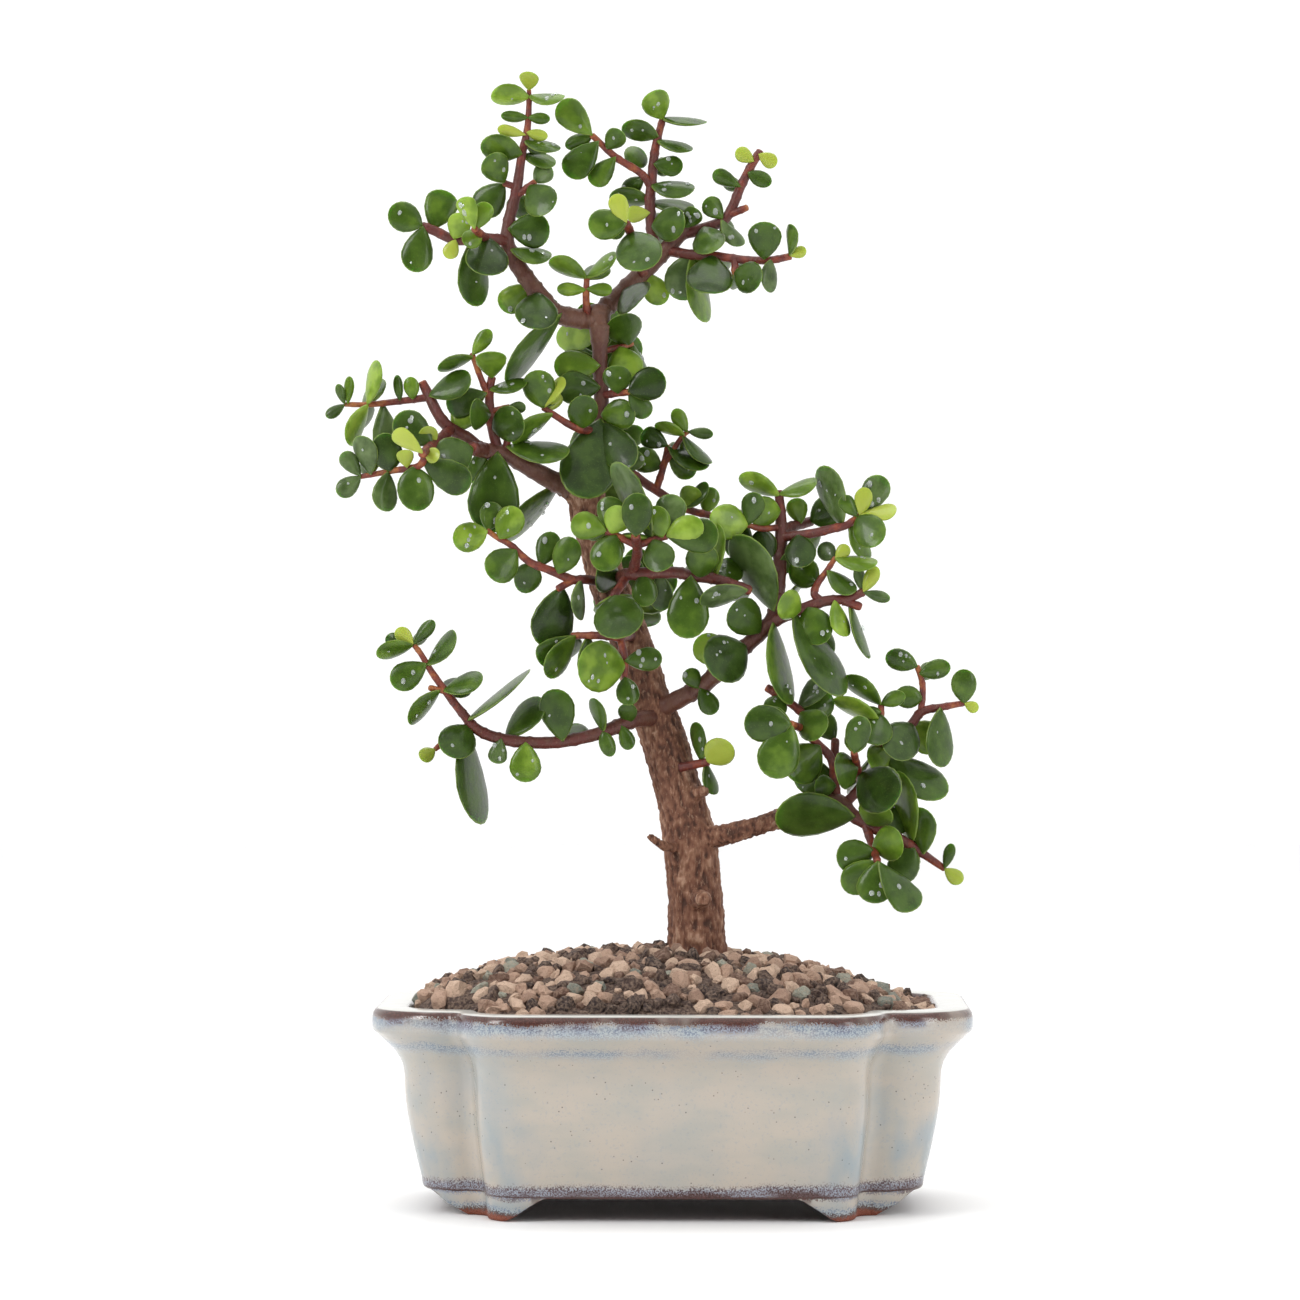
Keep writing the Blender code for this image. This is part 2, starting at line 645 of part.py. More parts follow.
SPRAYS = (
    Spray("spray_low_left", "trunk", (
        Stem((-3.5, 134.2, 0, 4.6), (-10, 133.9, -4, 4.4), (-15, 132, -6, 4.1), (-22, 129.5, -7, 3.6),
             (-32, 127.5, -8, 3.4), (-42, 127.5, -9, 3.3), (-50, 129, -9, 3.2), (-55, 131.5, -9, 3),
             (-58, 135, -9, 2.6), (-62, 140, -9, 2.2), (-67, 147, -9, 1.9), (-70, 152, -9, 1.6),
             (-72, 154.5, -9, 1.5)),
        Stem((-63, 141.5, -9, 1.8), (-67.5, 142.5, -10, 1.6)),
        Stem((-56.5, 132.5, -9, 1.8), (-63, 128, -6, 1.6), (-66, 125.5, -6, 1.4)),
    ), (
        (-21, 136, 3.5, 8, ""), (-18.5, 128, 4, 9.5, ""), (-12.5, 135.5, 5, 5, ""), (-13, 128.5, 4, 5, ""),
        (-27, 130.5, 7, 4, "b"), (-32, 136.5, 9, 9.5, ""), (-40.5, 121.5, 8, 7.5, ""), (-48, 124.5, 5, 4, ""),
        (-58.5, 129, 10, 9.5, ""), (-73, 146, 8, 7, ""), (-76, 155.5, 5, 4, "b"), (-74, 157, 4, 4, "y"),
        (-67.5, 124.5, 4, 4, "y"),
    ), (
        (-46, 129, -37, 139, 7, "b"), (-56, 134, -40.5, 146.5, 3.5, ""), (-63, 141.5, -53, 145.5, 6, ""),
        (-56, 130, -53, 107.5, 8, ""), (-64, 142, -71.5, 133.5, 4, ""), (-67, 149, -60.5, 157.5, 4, ""),
        (-72, 154, -66, 160.5, 3.5, ""), (-72, 154, -80.5, 152, 3.5, ""),
    )),
    Spray("spray_low_right", "trunk", (
        Stem((28.5, 106.2, -3, 5), (35, 107.6, -4, 5), (40, 109, -5, 4.9), (45.5, 111, -6, 4.6), (50, 107, -7, 3.8),
             (57, 103, -8, 3.2), (62, 101, -8, 3), (67, 98, -8, 2.6), (75, 92.5, -8, 1.8)),
        Stem((45.3, 110.5, -6, 3), (44.5, 118, -5, 2.5), (44.8, 128, -3, 2.3)),
        Stem((44.5, 120, -5, 2.4), (43, 124, -5, 2.4), (38, 129, -6, 2.4), (36, 135, -8, 2.3), (30, 140, -8, 2.3),
             (26, 142.5, -8, 2.3)),
        Stem((37.4, 130.5, -6, 2.3), (32.5, 132.5, -15, 2)),
        Stem((47, 110, -6, 3), (50, 113, -6, 2.6), (54, 118, -5, 2.5), (60, 125, -3, 2.5), (66, 132.5, -3, 2.6),
             (69, 136, -3, 2.4), (75, 137.3, -3, 2), (80.5, 138.3, -3, 1.6)),
        Stem((52, 115.6, -6, 2.4), (51, 120, -10, 2.2), (50, 124.5, -15, 2)),
        Stem((58.5, 123, -4, 2.2), (57.5, 130, -5, 2), (57.5, 138, -5, 1.8)),
        Stem((68.5, 135.5, -3, 2), (69, 143, -2, 1.8), (67.5, 148.5, -2, 1.5)),
        Stem((53, 105, -7.5, 2.4), (55, 99, -10, 2.2), (56.5, 94.5, -15, 2)),
    ), (
        (57, 100, 9, 9, ""), (54.5, 89.5, 9, 8.5, ""), (50, 91, 8, 8, "b"), (49.5, 97, 9, 8.5, ""),
        (63, 94, 8, 8.5, ""), (54.5, 107.5, 11, 7, ""), (62.5, 87, 9.5, 7, ""), (61, 106, 8, 8, "b"),
        (63, 129, 10, 12, ""), (56, 132, 8, 9, ""), (50, 130.5, 6.5, 8, ""), (57, 123.5, 9, 7.5, ""),
        (47.5, 120.5, 6.5, 10, ""), (54.5, 116, 11, 14, ""), (65, 140, 7, 6, ""), (72, 147.5, 8, 5, ""),
        (80, 143, 6.5, 8, ""), (70, 129, 8, 9, "b"), (25.5, 133, 11, 9.5, ""), (37, 133.5, 8.5, 8.5, ""),
        (28.5, 124.5, 10.5, 10.5, ""), (36, 122.5, 10, 11, ""), (38.5, 118, 9, 9, "b"), (39.5, 138, 8, 8, "b"),
        (28, 138, 7, 5, ""), (38.5, 142, 6, 5, "b"), (42, 132, 6, 7, "b"), (42, 115.5, 6, 6, ""),
        (60.5, 139.5, 6, 4, ""), (77, 91, 4, 4, "y"), (82.3, 137.3, 3, 3, "y"), (54.5, 136, 6, 3, ""),
        (63, 150, 8.5, 5.5, ""),
    ), (
        (49, 106, 29.5, 107.5, 12, ""), (69, 98, 67, 109, 6, ""), (66, 100, 61, 118, 7, "b"),
        (61, 122, 72, 112, 8, ""), (73.5, 137, 73.5, 122, 7, ""), (54, 132.5, 45, 139, 5, ""),
        (57.5, 138, 47.5, 145, 5, ""), (75, 94, 76, 99.5, 3, ""),
    )),
    Spray("spray_trunk_right", "trunk", (
        Stem((2, 120.5, -2, 2.6), (9.5, 122, -4, 2.2)),
    ), (
        (12, 124.5, 8, 8, "y"), (6.5, 129, 3, 7, "b"), (10, 116.5, 4, 6, "b"),
    )),
    Spray("spray_front_low", "trunk", (
        Stem((-12, 157, -2, 2.8), (-15, 156.5, -9, 2.5), (-20, 157, -9, 2.2), (-28, 157, -8, 1.8)),
        Stem((-14.8, 156.6, -8.5, 2.2), (-13.5, 150, -10, 2), (-13.5, 145.5, -10, 1.7)),
    ), (
        (-34, 152, 5, 7, ""), (-18.5, 148.5, 13, 13, ""), (-23.5, 150, 5, 8, "b"), (-12.5, 141.5, 6, 6, ""),
        (-7.5, 150.5, 7, 6, ""), (-7.5, 162, 6, 6, ""),
    ), (
        (-27, 156.5, -34, 146.5, 5, ""),
    )),
    Spray("spray_mid_right", "trunk", (
        Stem((-5, 136, 0, 5.4), (3, 140.2, -3, 5.1), (8, 143, -4, 4.8), (14, 148.5, -6, 4.6), (20, 154, -7, 4.3),
             (27, 161, -7, 4.2), (29, 168, -6, 4)),
        Stem((25, 159.5, -7, 3.4), (33, 163.2, -9, 3), (41, 166.3, -9, 3), (48, 167.2, -9, 2.6), (52.5, 169, -9, 2.2)),
        Stem((41, 166.5, -9, 2.4), (39, 168.5, -9, 2.2), (40, 171.5, -8, 1.9), (42.5, 175, -8, 1.6),
             (44.8, 178.5, -8, 1.4)),
        Stem((47, 166.6, -9, 2.4), (51.7, 165, -9, 2.2)),
    ), (
        (15.5, 151.5, 12.5, 13, ""), (10, 153, 8, 8, "b"), (20, 161.5, 8, 12.5, ""), (25, 171, 7.5, 10.5, ""),
        (32, 165, 6, 9, ""), (29.5, 167, 5, 3, "y"), (38, 161, 8.5, 13, ""), (40, 155, 7, 9, "b"),
        (31.5, 172, 8, 8, "b"), (36, 174, 8, 8, "b"), (5, 145.5, 5, 4, ""), (9.5, 138.5, 5, 6, ""),
        (46.3, 180, 3.5, 3.5, "y"), (42, 180, 4, 6, "b"), (54, 173, 3.5, 6, "y"),
    ), (
        (26, 164, 20.5, 184, 8.5, ""), (27.5, 160, 28, 139.5, 5.5, ""), (33, 162, 35, 139, 8, "b"),
        (43, 174, 48.3, 168.5, 4.5, ""), (45, 177.5, 54.5, 175.5, 4, ""), (52, 169, 58.5, 167, 3, ""),
        (52, 169, 50.5, 175.5, 3, ""), (44, 165.5, 47, 157.5, 4, ""), (48, 165.5, 53.5, 152, 4, "b"),
    )),
    Spray("spray_upper_right", "spray_mid_right", (
        Stem((28.7, 166.5, -6, 4), (29.5, 178, -5, 3.8), (29.8, 188, -5, 3.2), (29.2, 196.8, -5, 2.3)),
        Stem((29.6, 184.2, -5, 2.8), (38, 185.2, -7, 2.6), (44, 186.6, -8, 2.4), (48, 187.6, -8, 2.1),
             (51.5, 190.3, -8, 1.7)),
        Stem((29.8, 186.4, -5, 3), (38, 188.6, -1, 2.8)),
        Stem((29.6, 187, -5, 1.9), (24.5, 186.6, -7, 1.7), (20.5, 187.6, -8, 1.4)),
    ), (
        (34.5, 181, 8, 9.5, ""), (24.5, 182.5, 7, 9, "b"), (18, 183, 7, 9, "b"), (15.5, 188, 10, 9, ""),
        (25.5, 191, 9, 8, ""), (21.5, 192, 6, 7, "b"), (34, 191.8, 5.5, 5, ""), (42, 191, 9.5, 8, ""),
        (51.8, 194, 4.5, 6, "y"), (57, 191, 6.5, 5, "y"), (55.5, 197, 8, 6, "b"), (53, 186, 8.5, 9, ""),
        (47.5, 193, 5, 3.5, ""),
    ), (
        (40.5, 184.5, 40.5, 171.5, 6.5, ""), (46, 188, 40.5, 202, 5, "b"), (29, 195.5, 19, 200.5, 4, ""),
        (29.3, 195.8, 38.5, 199.5, 4, ""), (49, 187, 53.5, 179, 4.5, "b"),
    )),
    Spray("spray_front_centre", "trunk", (
        Stem((-15, 173, -2, 3.8), (-12, 174, -10, 3.4), (0, 174.5, -11, 3.2), (5, 173.5, -11, 3.1),
             (12, 172.5, -11, 3), (21, 169.5, -12, 2.8)),
        Stem((-11.5, 173.8, -10, 3), (-10, 180, -14, 2.7), (-10.5, 184.5, -18, 2.6)),
        Stem((-10.2, 182, -15.5, 2.2), (-18.5, 186, -15, 1.8)),
        Stem((-10.2, 182, -15.5, 2.2), (-2, 184.5, -15, 1.8)),
        Stem((-12.5, 174, -9, 2.6), (-16.5, 168, -12, 2.2)),
    ), (
        (-23.5, 186.5, 7.5, 7, ""), (-15.5, 188, 7, 7, ""), (-17.5, 191, 7, 6, "b"), (-10, 190, 8, 9, ""),
        (-4.5, 188, 6.5, 7, ""), (3, 185.5, 9, 7, ""), (-18, 179.5, 8, 9.5, ""), (-4.5, 179.5, 8, 9.5, ""),
        (-19, 173.5, 11.5, 9, ""), (-15.5, 164, 13, 14, ""), (-8, 169.5, 6.5, 8, ""), (7.5, 176.5, 8.5, 9.5, ""),
        (14.5, 174, 8, 8, "b"), (-3.5, 168, 6, 7, "b"), (7, 184, 8, 9, "b"), (12.5, 182, 5, 9, "b"),
        (-1, 191, 8, 7, "b"),
    ), (
        (4.5, 172.5, 3.5, 157.5, 10.5, ""), (20, 169, 8, 166.5, 5, ""), (-6, 184, -16, 202, 7, "b"),
    )),
    Spray("spray_mid_left", "trunk", (
        Stem((-19, 171.5, -2, 2.8), (-24, 172.5, -7, 2.6), (-28, 172.5, -8, 2.5), (-34, 175, -9, 2.3),
             (-40, 177.5, -9, 2.1), (-45, 182, -9, 1.8), (-49, 184.3, -9, 1.6), (-51.5, 186, -9, 1.4)),
        Stem((-27.5, 172.5, -8, 2.2), (-32, 170, -9, 1.9)),
    ), (
        (-55.5, 184, 8.5, 7.5, ""), (-45, 188, 7.5, 7.5, ""), (-50, 190, 6, 6, "b"), (-46.5, 176.5, 8.5, 9, ""),
        (-40, 173, 7, 8, "b"), (-29.5, 179, 7, 9, ""), (-34.5, 181, 6, 8, "b"), (-25.5, 166, 3.5, 8, ""),
    ), (
        (-30.5, 170.5, -33, 154.5, 9.5, ""),
    )),
    Spray("spray_upper_left", "trunk", (
        Stem((-29, 197.8, 0, 5.6), (-34, 200.2, -1, 5.5), (-40, 203.5, -3, 4.8), (-47, 207.5, -4, 4.6),
             (-53, 208.3, -5, 4.2), (-57, 211.5, -6, 3.7), (-62, 214.5, -7, 3.4), (-65, 218, -7, 3.1),
             (-68, 224, -6, 2.9), (-69.5, 227, -6, 2.4)),
        Stem((-52.5, 208.2, -5, 4.2), (-55.5, 208.8, -10, 3.6)),
        Stem((-46.5, 207.5, -4, 2.6), (-46, 211, -5, 2)),
        Stem((-67.6, 223, -6, 2.2), (-75, 222, -6, 1.9), (-84, 221, -6, 1.6), (-91, 221, -6, 1.3)),
        Stem((-61.5, 214, -7, 3), (-66, 210.5, -13, 2.6), (-69.5, 207.3, -21, 2.5)),
        Stem((-68.5, 208, -18, 2), (-70.5, 204, -16, 1.9), (-78, 202.6, -13, 1.7), (-86.5, 201, -12, 1.4)),
        Stem((-48.5, 208, -4, 3), (-50.5, 216, -5, 2.7), (-51, 224, -5, 2.5), (-50.3, 228.3, -5, 2.2)),
        Stem((-51, 222.5, -5, 1.9), (-54, 230, -6, 1.6), (-55.8, 235, -6, 1.4)),
        Stem((-50.5, 219, -5, 2), (-45.5, 220.3, -6, 1.6)),
    ), (
        (-75.5, 225, 2.5, 6, ""), (-72, 225, 4, 5, ""), (-73, 210, 4.5, 4.5, "y"), (-66.3, 211, 4.5, 5.5, "y"),
        (-72.8, 205.3, 4.5, 3, "y"), (-65.6, 205.8, 4.5, 4, "y"), (-78, 206.5, 8, 9.5, ""),
        (-59.5, 206, 9.5, 10, ""), (-71, 213, 10, 8, ""), (-70, 197, 9.5, 11, ""), (-60.5, 200, 10, 8, "b"),
        (-83.5, 206.5, 5.5, 8.5, ""), (-79, 212, 6, 6, "b"), (-53.5, 202.5, 6, 7, "b"), (-50, 232, 8, 4, ""),
        (-60.5, 226, 10, 6, ""), (-58, 221, 7, 8, ""), (-53.5, 217.5, 3.5, 8, ""), (-47, 214.5, 11, 9.5, ""),
        (-58, 217, 7, 6, "b"), (-88.5, 204.5, 5, 4, ""), (-41, 208.5, 5, 4, "b"),
    ), (
        (-84, 221, -81.5, 231.5, 3.5, ""), (-84, 221, -88.5, 210, 4, ""), (-89.5, 221, -89, 227.5, 2.6, ""),
        (-90.5, 221, -95, 217.3, 3, ""), (-90.5, 221, -92, 225.5, 2.4, ""), (-86, 201.5, -91, 195.7, 5, ""),
        (-78, 202.5, -78.3, 191.5, 5.5, ""), (-48.5, 206.5, -50, 187, 13, ""), (-46, 209, -30, 207.5, 6.5, ""),
        (-55.3, 234, -50.7, 240.3, 4, ""), (-55.3, 233.5, -64, 230.3, 3.6, ""), (-50.5, 224.5, -41, 226.5, 3.6, ""),
        (-46, 220.3, -41, 219.5, 3, ""), (-32, 198.5, -38, 180, 7, ""),
    )),
    Spray("spray_inner_right", "spray_leader", (
        Stem((-21.7, 208.5, 0, 3.2), (-17, 206, 3, 3), (-11, 201.5, 5, 2.6), (-4.5, 197, 5, 2.4),
             (4, 192, 5, 2.2), (10, 190.3, 5, 2)),
        Stem((-5, 196.8, 5, 2.2), (-3, 203, 5, 1.9), (-1.5, 209.5, 5, 1.7)),
        Stem((-3.2, 203.5, 5, 1.7), (2, 211.5, 4, 1.5), (4, 213.5, 4, 1.3)),
    ), (
        (3, 204, 6, 6, "b"), (4.5, 195.5, 6, 5, ""), (10, 195, 5, 6, "b"), (13, 191.5, 4, 2.5, "y"),
        (-7.5, 206, 6.5, 7, "b"), (-6, 212, 5, 6, ""), (-11, 205.5, 5, 5, ""),
    ), (
        (3, 213, -4.5, 215.5, 3.5, ""), (4, 213.5, 0.5, 219.5, 4, ""), (4.3, 213.5, 10.5, 213, 3, ""),
        (3, 212, 10, 205.5, 4, ""), (-1, 209.5, 8, 203, 5, ""), (4, 193, 9, 199, 4, ""),
    )),
    Spray("spray_leader", "trunk", (
        Stem((-22.8, 201, 1, 5.8), (-21.6, 209, 0, 5), (-20, 216, 0, 4.3), (-20.2, 228, 0, 4),
             (-20.4, 236, 0, 4.2), (-20.5, 242, 0, 5.8), (-20.6, 247.4, 0, 6.6)),
        Stem((-20.1, 223.5, 0, 2.3), (-12.5, 224.5, -4, 1.8)),
        Stem((-20.3, 213.5, 0, 2.4), (-27, 214.5, -4, 2.1), (-36, 220, -5, 1.6)),
        Stem((-20.4, 235.5, 0, 2), (-11.5, 237.8, 4, 1.5)),
    ), (
        (-28, 240.5, 10.5, 8, ""), (-13.5, 241.5, 10, 7, ""), (-27.5, 231.5, 9, 8, ""), (-13.5, 232, 9.5, 8, ""),
        (-27, 225.5, 8.5, 8.5, ""), (-15.5, 227, 7.5, 7, ""), (-7.5, 226, 9.5, 8.5, ""), (-25, 218, 8, 8.5, ""),
        (-15, 218, 7.5, 8, ""), (-37, 225, 8.5, 8, ""), (-32.5, 226.5, 4, 3, "y"), (-32.5, 222, 4, 3, "y"),
        (-9, 220, 6, 5, "b"),
    ), (
        (-20.5, 217, -25, 196.5, 14.5, ""), (-18, 216, -12.5, 204, 9, ""), (-11, 237.5, -7, 229, 3.5, "b"),
        (-33, 218.5, -43.5, 210.5, 5, ""),
    )),
    Spray("spray_crown_left", "spray_leader", (
        Stem((-21.6, 244.2, 0, 5.2), (-24, 244.5, 0, 5.3), (-28, 245, -1, 5.5), (-33, 246.5, -2, 5.3), (-36, 250, -3, 5),
             (-40, 255, -3, 4.8), (-44, 261, -3, 4.5), (-46, 266, -3, 4), (-45.5, 272, -3, 3.4), (-43.5, 280, -3, 3),
             (-42, 290, -3, 2.4), (-40.5, 297, -3, 2), (-40, 304, -3, 1.6), (-40, 308, -3, 1.3)),
        Stem((-45.8, 266.2, -3, 3.2), (-52, 267, -6, 2.9), (-60, 266.5, -7, 2.8), (-66, 269, -7, 2.7),
             (-69.5, 270.3, -7, 2.6)),
        Stem((-52, 267, -6, 2.4), (-55, 269.5, -15, 2)),
        Stem((-43.8, 278.5, -3, 2.2), (-38.5, 282.5, -4, 1.9)),
        Stem((-43.2, 281, -3, 2), (-46.8, 282.3, -3, 1.8)),
        Stem((-23.5, 244.3, 0, 2.4), (-24.2, 250, -2, 2), (-24, 256, -2, 1.6)),
    ), (
        (-59, 269, 6, 6, ""), (-56.5, 273, 5, 4, ""), (-54.5, 265.5, 6, 5, ""), (-51.8, 271.5, 5, 5, ""),
        (-73.5, 271.5, 8.5, 7.5, ""), (-64, 275, 9, 7, "b"), (-51, 277, 10, 7, "b"), (-42.5, 276, 7, 6, "b"),
        (-37, 277, 9.5, 8, ""), (-39, 268.5, 8, 9, ""), (-51, 260.5, 11, 9, ""), (-54.5, 255, 8, 12, "b"),
        (-37.5, 247, 11, 11, ""), (-44.5, 250, 6, 8, "b"), (-61, 262.5, 4, 4, "y"), (-47.5, 291, 10, 6, ""),
        (-36, 292, 9, 4, ""), (-49, 286, 9.5, 5, ""), (-36.5, 288.5, 7, 4, "b"), (-36, 284.5, 8, 4, "b"),
        (-45.5, 296, 5, 3, "y"), (-37.5, 295, 5, 3, "y"), (-44, 300, 6, 3, ""), (-37, 299.5, 5, 3, ""),
        (-45, 305.5, 9, 4.5, ""), (-35, 305.5, 8.5, 4, ""), (-39.8, 310, 5, 3, "y"), (-28.5, 252.5, 6, 3.5, ""),
        (-20, 252.5, 5, 3.5, ""),
    ), (
        (-68.5, 269.5, -71, 257.5, 8, ""), (-43, 264, -34.5, 261.5, 5, ""), (-31, 245.5, -42, 226, 5, ""),
        (-24, 256, -33.5, 260, 4, ""), (-24, 256, -16.5, 262, 4, ""),
    )),
    Spray("spray_crown_right", "spray_leader", (
        Stem((-20.2, 245.4, 0, 4.8), (-18.6, 248, 1, 5.1), (-15.6, 250.4, 2, 5.3), (-10, 256, 3, 5.1), (-5, 261, 3, 4.8),
             (-1, 265, 3, 4.4), (3.3, 269.8, 3, 4)),
        Stem((-5, 261.5, 3, 3.4), (-6.5, 275, 3, 3), (-6, 283, 3, 2.8), (-5, 292, 3, 2.4), (-3, 300, 3, 1.9)),
        Stem((-6.2, 281, 3, 2.2), (-9, 285, 2, 2.1), (-16, 289.5, 1, 2), (-22.5, 295.5, 0, 1.7)),
        Stem((-1.5, 263.5, 3, 3), (5, 262.5, 0, 2.7), (12, 262, -2, 2.5), (20, 261, -3, 2.3), (27, 261, -4, 2.1),
             (32.3, 262, -4, 2)),
        Stem((17, 261.5, -2.5, 2.2), (17, 257.5, -4, 1.9)),
        Stem((1.5, 267.8, 3, 3.2), (12, 271, 3, 3), (15.5, 274, 3, 2.8), (18.5, 281, 3, 2.6), (21.5, 287, 3, 2.4),
             (24, 291, 3, 2.3)),
        Stem((15, 273.3, 3, 2.2), (20.3, 275.5, 2, 1.9)),
        Stem((-8.5, 257.5, 2, 2.8), (-10.5, 265, -6, 2.5), (-13, 271, -12, 2.4)),
    ), (
        (-15, 274, 5, 5, "y"), (-10.5, 274, 4, 4.5, "y"), (-10, 262.5, 12, 12, ""), (-18, 269, 9, 8, ""),
        (-12.5, 278.5, 9, 5, "b"), (-2, 271, 9, 9, ""), (-10.5, 249.5, 12, 10.5, ""), (-5, 253, 6, 8, "b"),
        (-11.5, 282, 8, 4, "b"), (-20, 285, 5, 9, ""), (-10.5, 290, 8, 5, "b"), (-1, 287.5, 6, 5.5, ""),
        (-9.5, 297, 9, 4.5, ""), (1, 293, 8, 4, ""), (-4.5, 304, 8, 6, ""), (3.5, 300, 10, 3.5, ""),
        (0, 281.5, 10, 4.5, ""), (0, 277, 10, 3, "b"), (11, 276, 9, 4, ""), (5, 273, 6, 4, ""),
        (9.5, 266.5, 9, 7, ""), (17, 268, 4, 10, ""), (10, 256.5, 12, 10, ""), (3, 256, 10, 10, "b"),
        (20, 255.5, 7, 9, ""), (25, 266.5, 8.5, 6.5, ""), (26.5, 256, 4, 8, ""), (32, 267, 3, 5, ""),
        (34.5, 262.5, 3.5, 3, "y"), (14, 284, 6, 4, ""), (24, 284, 7, 4, ""), (26.5, 289, 4, 4, "y"),
        (19.5, 290.5, 4, 4, "y"), (-28, 301, 9, 7, ""), (-26.5, 294, 7, 4, "b"), (-16.5, 294, 6, 5, ""),
        (-26, 288, 7, 10, ""),
    ), (
        (5, 262, 6.5, 245, 6, "b"),
    )),
    Spray("spray_back_mid", "trunk", (
        Stem((-14, 162, 1, 3.2), (-12, 166, 6, 2.8), (-9, 170, 12, 2.4), (-8, 174, 18, 1.8)),
    ), pairs=5),
    Spray("spray_back_upper", "trunk", (
        Stem((-23, 189, 1, 3.2), (-21, 196, 6, 2.8), (-18, 204, 11, 2.4), (-16, 210, 15, 1.8)),
    ), pairs=5),
    Spray("spray_back_crown", "spray_leader", (
        Stem((-20.3, 229, 0, 2.8), (-20, 233, 5, 2.5), (-21, 238, 10, 2.2), (-22, 242, 14, 1.7)),
    ), pairs=5),
)


def turn_plant(body):
    """Turn a body built in the front view into the frame of the pot."""
    body.data.transform(Matrix.Rotation(POT_TURN, 4, "Z"))
    return body


def trunk_stems():
    """Return the trunk, its limbs and its spreading surface roots."""
    foot = Vector((TRUNK_STEMS[0].points[1].x, TRUNK_STEMS[0].points[1].y, 0.0))
    roots = []
    for degrees, reach in ROOTS:
        heading = Vector((math.cos(math.radians(degrees)), math.sin(math.radians(degrees)), 0.0))
        root = Stem(*[(0, 0, 0, ROOT_DIAMETER * share) for share in (1.0, 0.8, 0.4)])
        heights = (ROOT_TOP, 0.5 * (ROOT_TOP + ROOT_END) + 2.0, ROOT_END)
        root.points = [foot + heading * reach * share + Vector((0, 0, z))
                       for share, z in zip((0.12, 0.5, 1.0), heights)]
        roots.append(root)
    return [*TRUNK_STEMS, *roots]


def build_spray(spray, parents, obstacles, chance):
    """Build one spray: its stems start face to face with their parent, and its leaves are fused to them."""
    body = fuse_stems(spray.name, spray.stems)
    combine(body, [fuse_stems("parent", parents[spray.parent], JOINT_GAP)], "DIFFERENCE")
    drop_scraps(body)
    readings = [oval_leaf(spray.stems, *oval) for oval in spray.ovals]
    readings += [blade_leaf(spray.stems, *blade) for blade in spray.blades]
    marks = [row[-1] for row in (*spray.ovals, *spray.blades)]
    wanted = list(readings)
    for leaf, mark in zip(readings, marks):
        if "b" not in mark and leaf.length > OPPOSITE_FROM and chance.random() < OPPOSITE_SHARE:
            wanted.append(opposite_leaf(leaf))
    if spray.pairs:
        wanted += paired_leaves(spray.stems[0], spray.pairs)
    leaves = []
    for leaf in wanted:
        placed = settle(leaf, spray.name, obstacles)
        if placed is None:
            continue
        points, faces = placed.mesh(placed.steps())
        obstacles.add((spray.name, "leaf"), points, faces)
        leaves.append(new_object("leaf", points, faces))
    combine(body, leaves, "UNION")
    return drop_scraps(body, SHORTEST_EDGE)


def build_plant():
    """Build the trunk and every spray, and return them with the cutter of the trunk's hole in the soil."""
    parents = {"trunk": trunk_stems()}
    parents.update({spray.name: list(spray.stems) for spray in SPRAYS})
    trunk = drop_scraps(fuse_stems("trunk", parents["trunk"]))
    obstacles = Obstacles()
    obstacles.add_object(("trunk", "stem"), trunk)
    for spray in SPRAYS:
        for stem in spray.stems:
            body = tube("probe", stem)
            obstacles.add_object((spray.name, "stem"), body)
            bpy.data.objects.remove(body, do_unlink=True)
    chance = random.Random(SEED)
    sprays = [build_spray(spray, parents, obstacles, chance) for spray in SPRAYS]
    hole = fuse_stems("trunk_hole", parents["trunk"], JOINT_GAP)
    for body in (trunk, hole, *sprays):
        turn_plant(body)
    return trunk, sprays, hole


def finish(body, made_of):
    """Give a body its one material and flat or smooth faces."""
    body.data.materials.clear()
    body.data.materials.append(made_of)
    body.data.shade_smooth()
    body.data.set_sharp_from_angle(angle=math.radians(40))


def stand_on_origin(bodies):
    """Parent the bodies to one empty, placed so that the middle of their footprint is the origin."""
    corners = [v.co for body in bodies for v in body.data.vertices]
    middle = [(min(c[i] for c in corners) + max(c[i] for c in corners)) / 2 for i in (0, 1)]
    holder = bpy.data.objects.new("bonsai", None)
    bpy.context.scene.collection.objects.link(holder)
    holder.location = (-middle[0], -middle[1], -min(c.z for c in corners))
    for body in bodies:
        body.parent = holder


def main():
    clear_scene()
    trunk, sprays, hole = build_plant()
    pot = build_pot()
    screens = [build_screen(name, side) for name, side in (("drain_screen_left", -1), ("drain_screen_right", 1))]
    soil = build_soil(hole)
    finish(pot, material("glaze", (0.62, 0.57, 0.48), 0.22))
    finish(soil, material("soil", (0.23, 0.15, 0.10), 0.95))
    finish(trunk, material("bark", (0.20, 0.085, 0.045), 0.8))
    for screen in screens:
        finish(screen, material("screen_plastic", (0.03, 0.03, 0.03), 0.6))
    for spray in sprays:
        finish(spray, material("leaf", (0.09, 0.22, 0.03), 0.35))
    stand_on_origin([pot, soil, trunk, *screens, *sprays])
    bpy.context.view_layer.update()


if __name__ == "__main__":
    main()
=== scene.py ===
"""Dwarf jade bonsai in a glazed quatrefoil pot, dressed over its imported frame.

The plant is laid out in millimetres as it is seen from the front. Each reading
(x, z) lies in the plane of the trunk, and a depth slides it along its line of
sight, away from the viewer where the depth is positive. Everything else is in
the pot's own millimetres, from the middle of its footprint, until it is placed.
"""
import logging
import math
import random
from dataclasses import dataclass, field, replace
from enum import Enum
from typing import Any, Callable, Iterable, Sequence

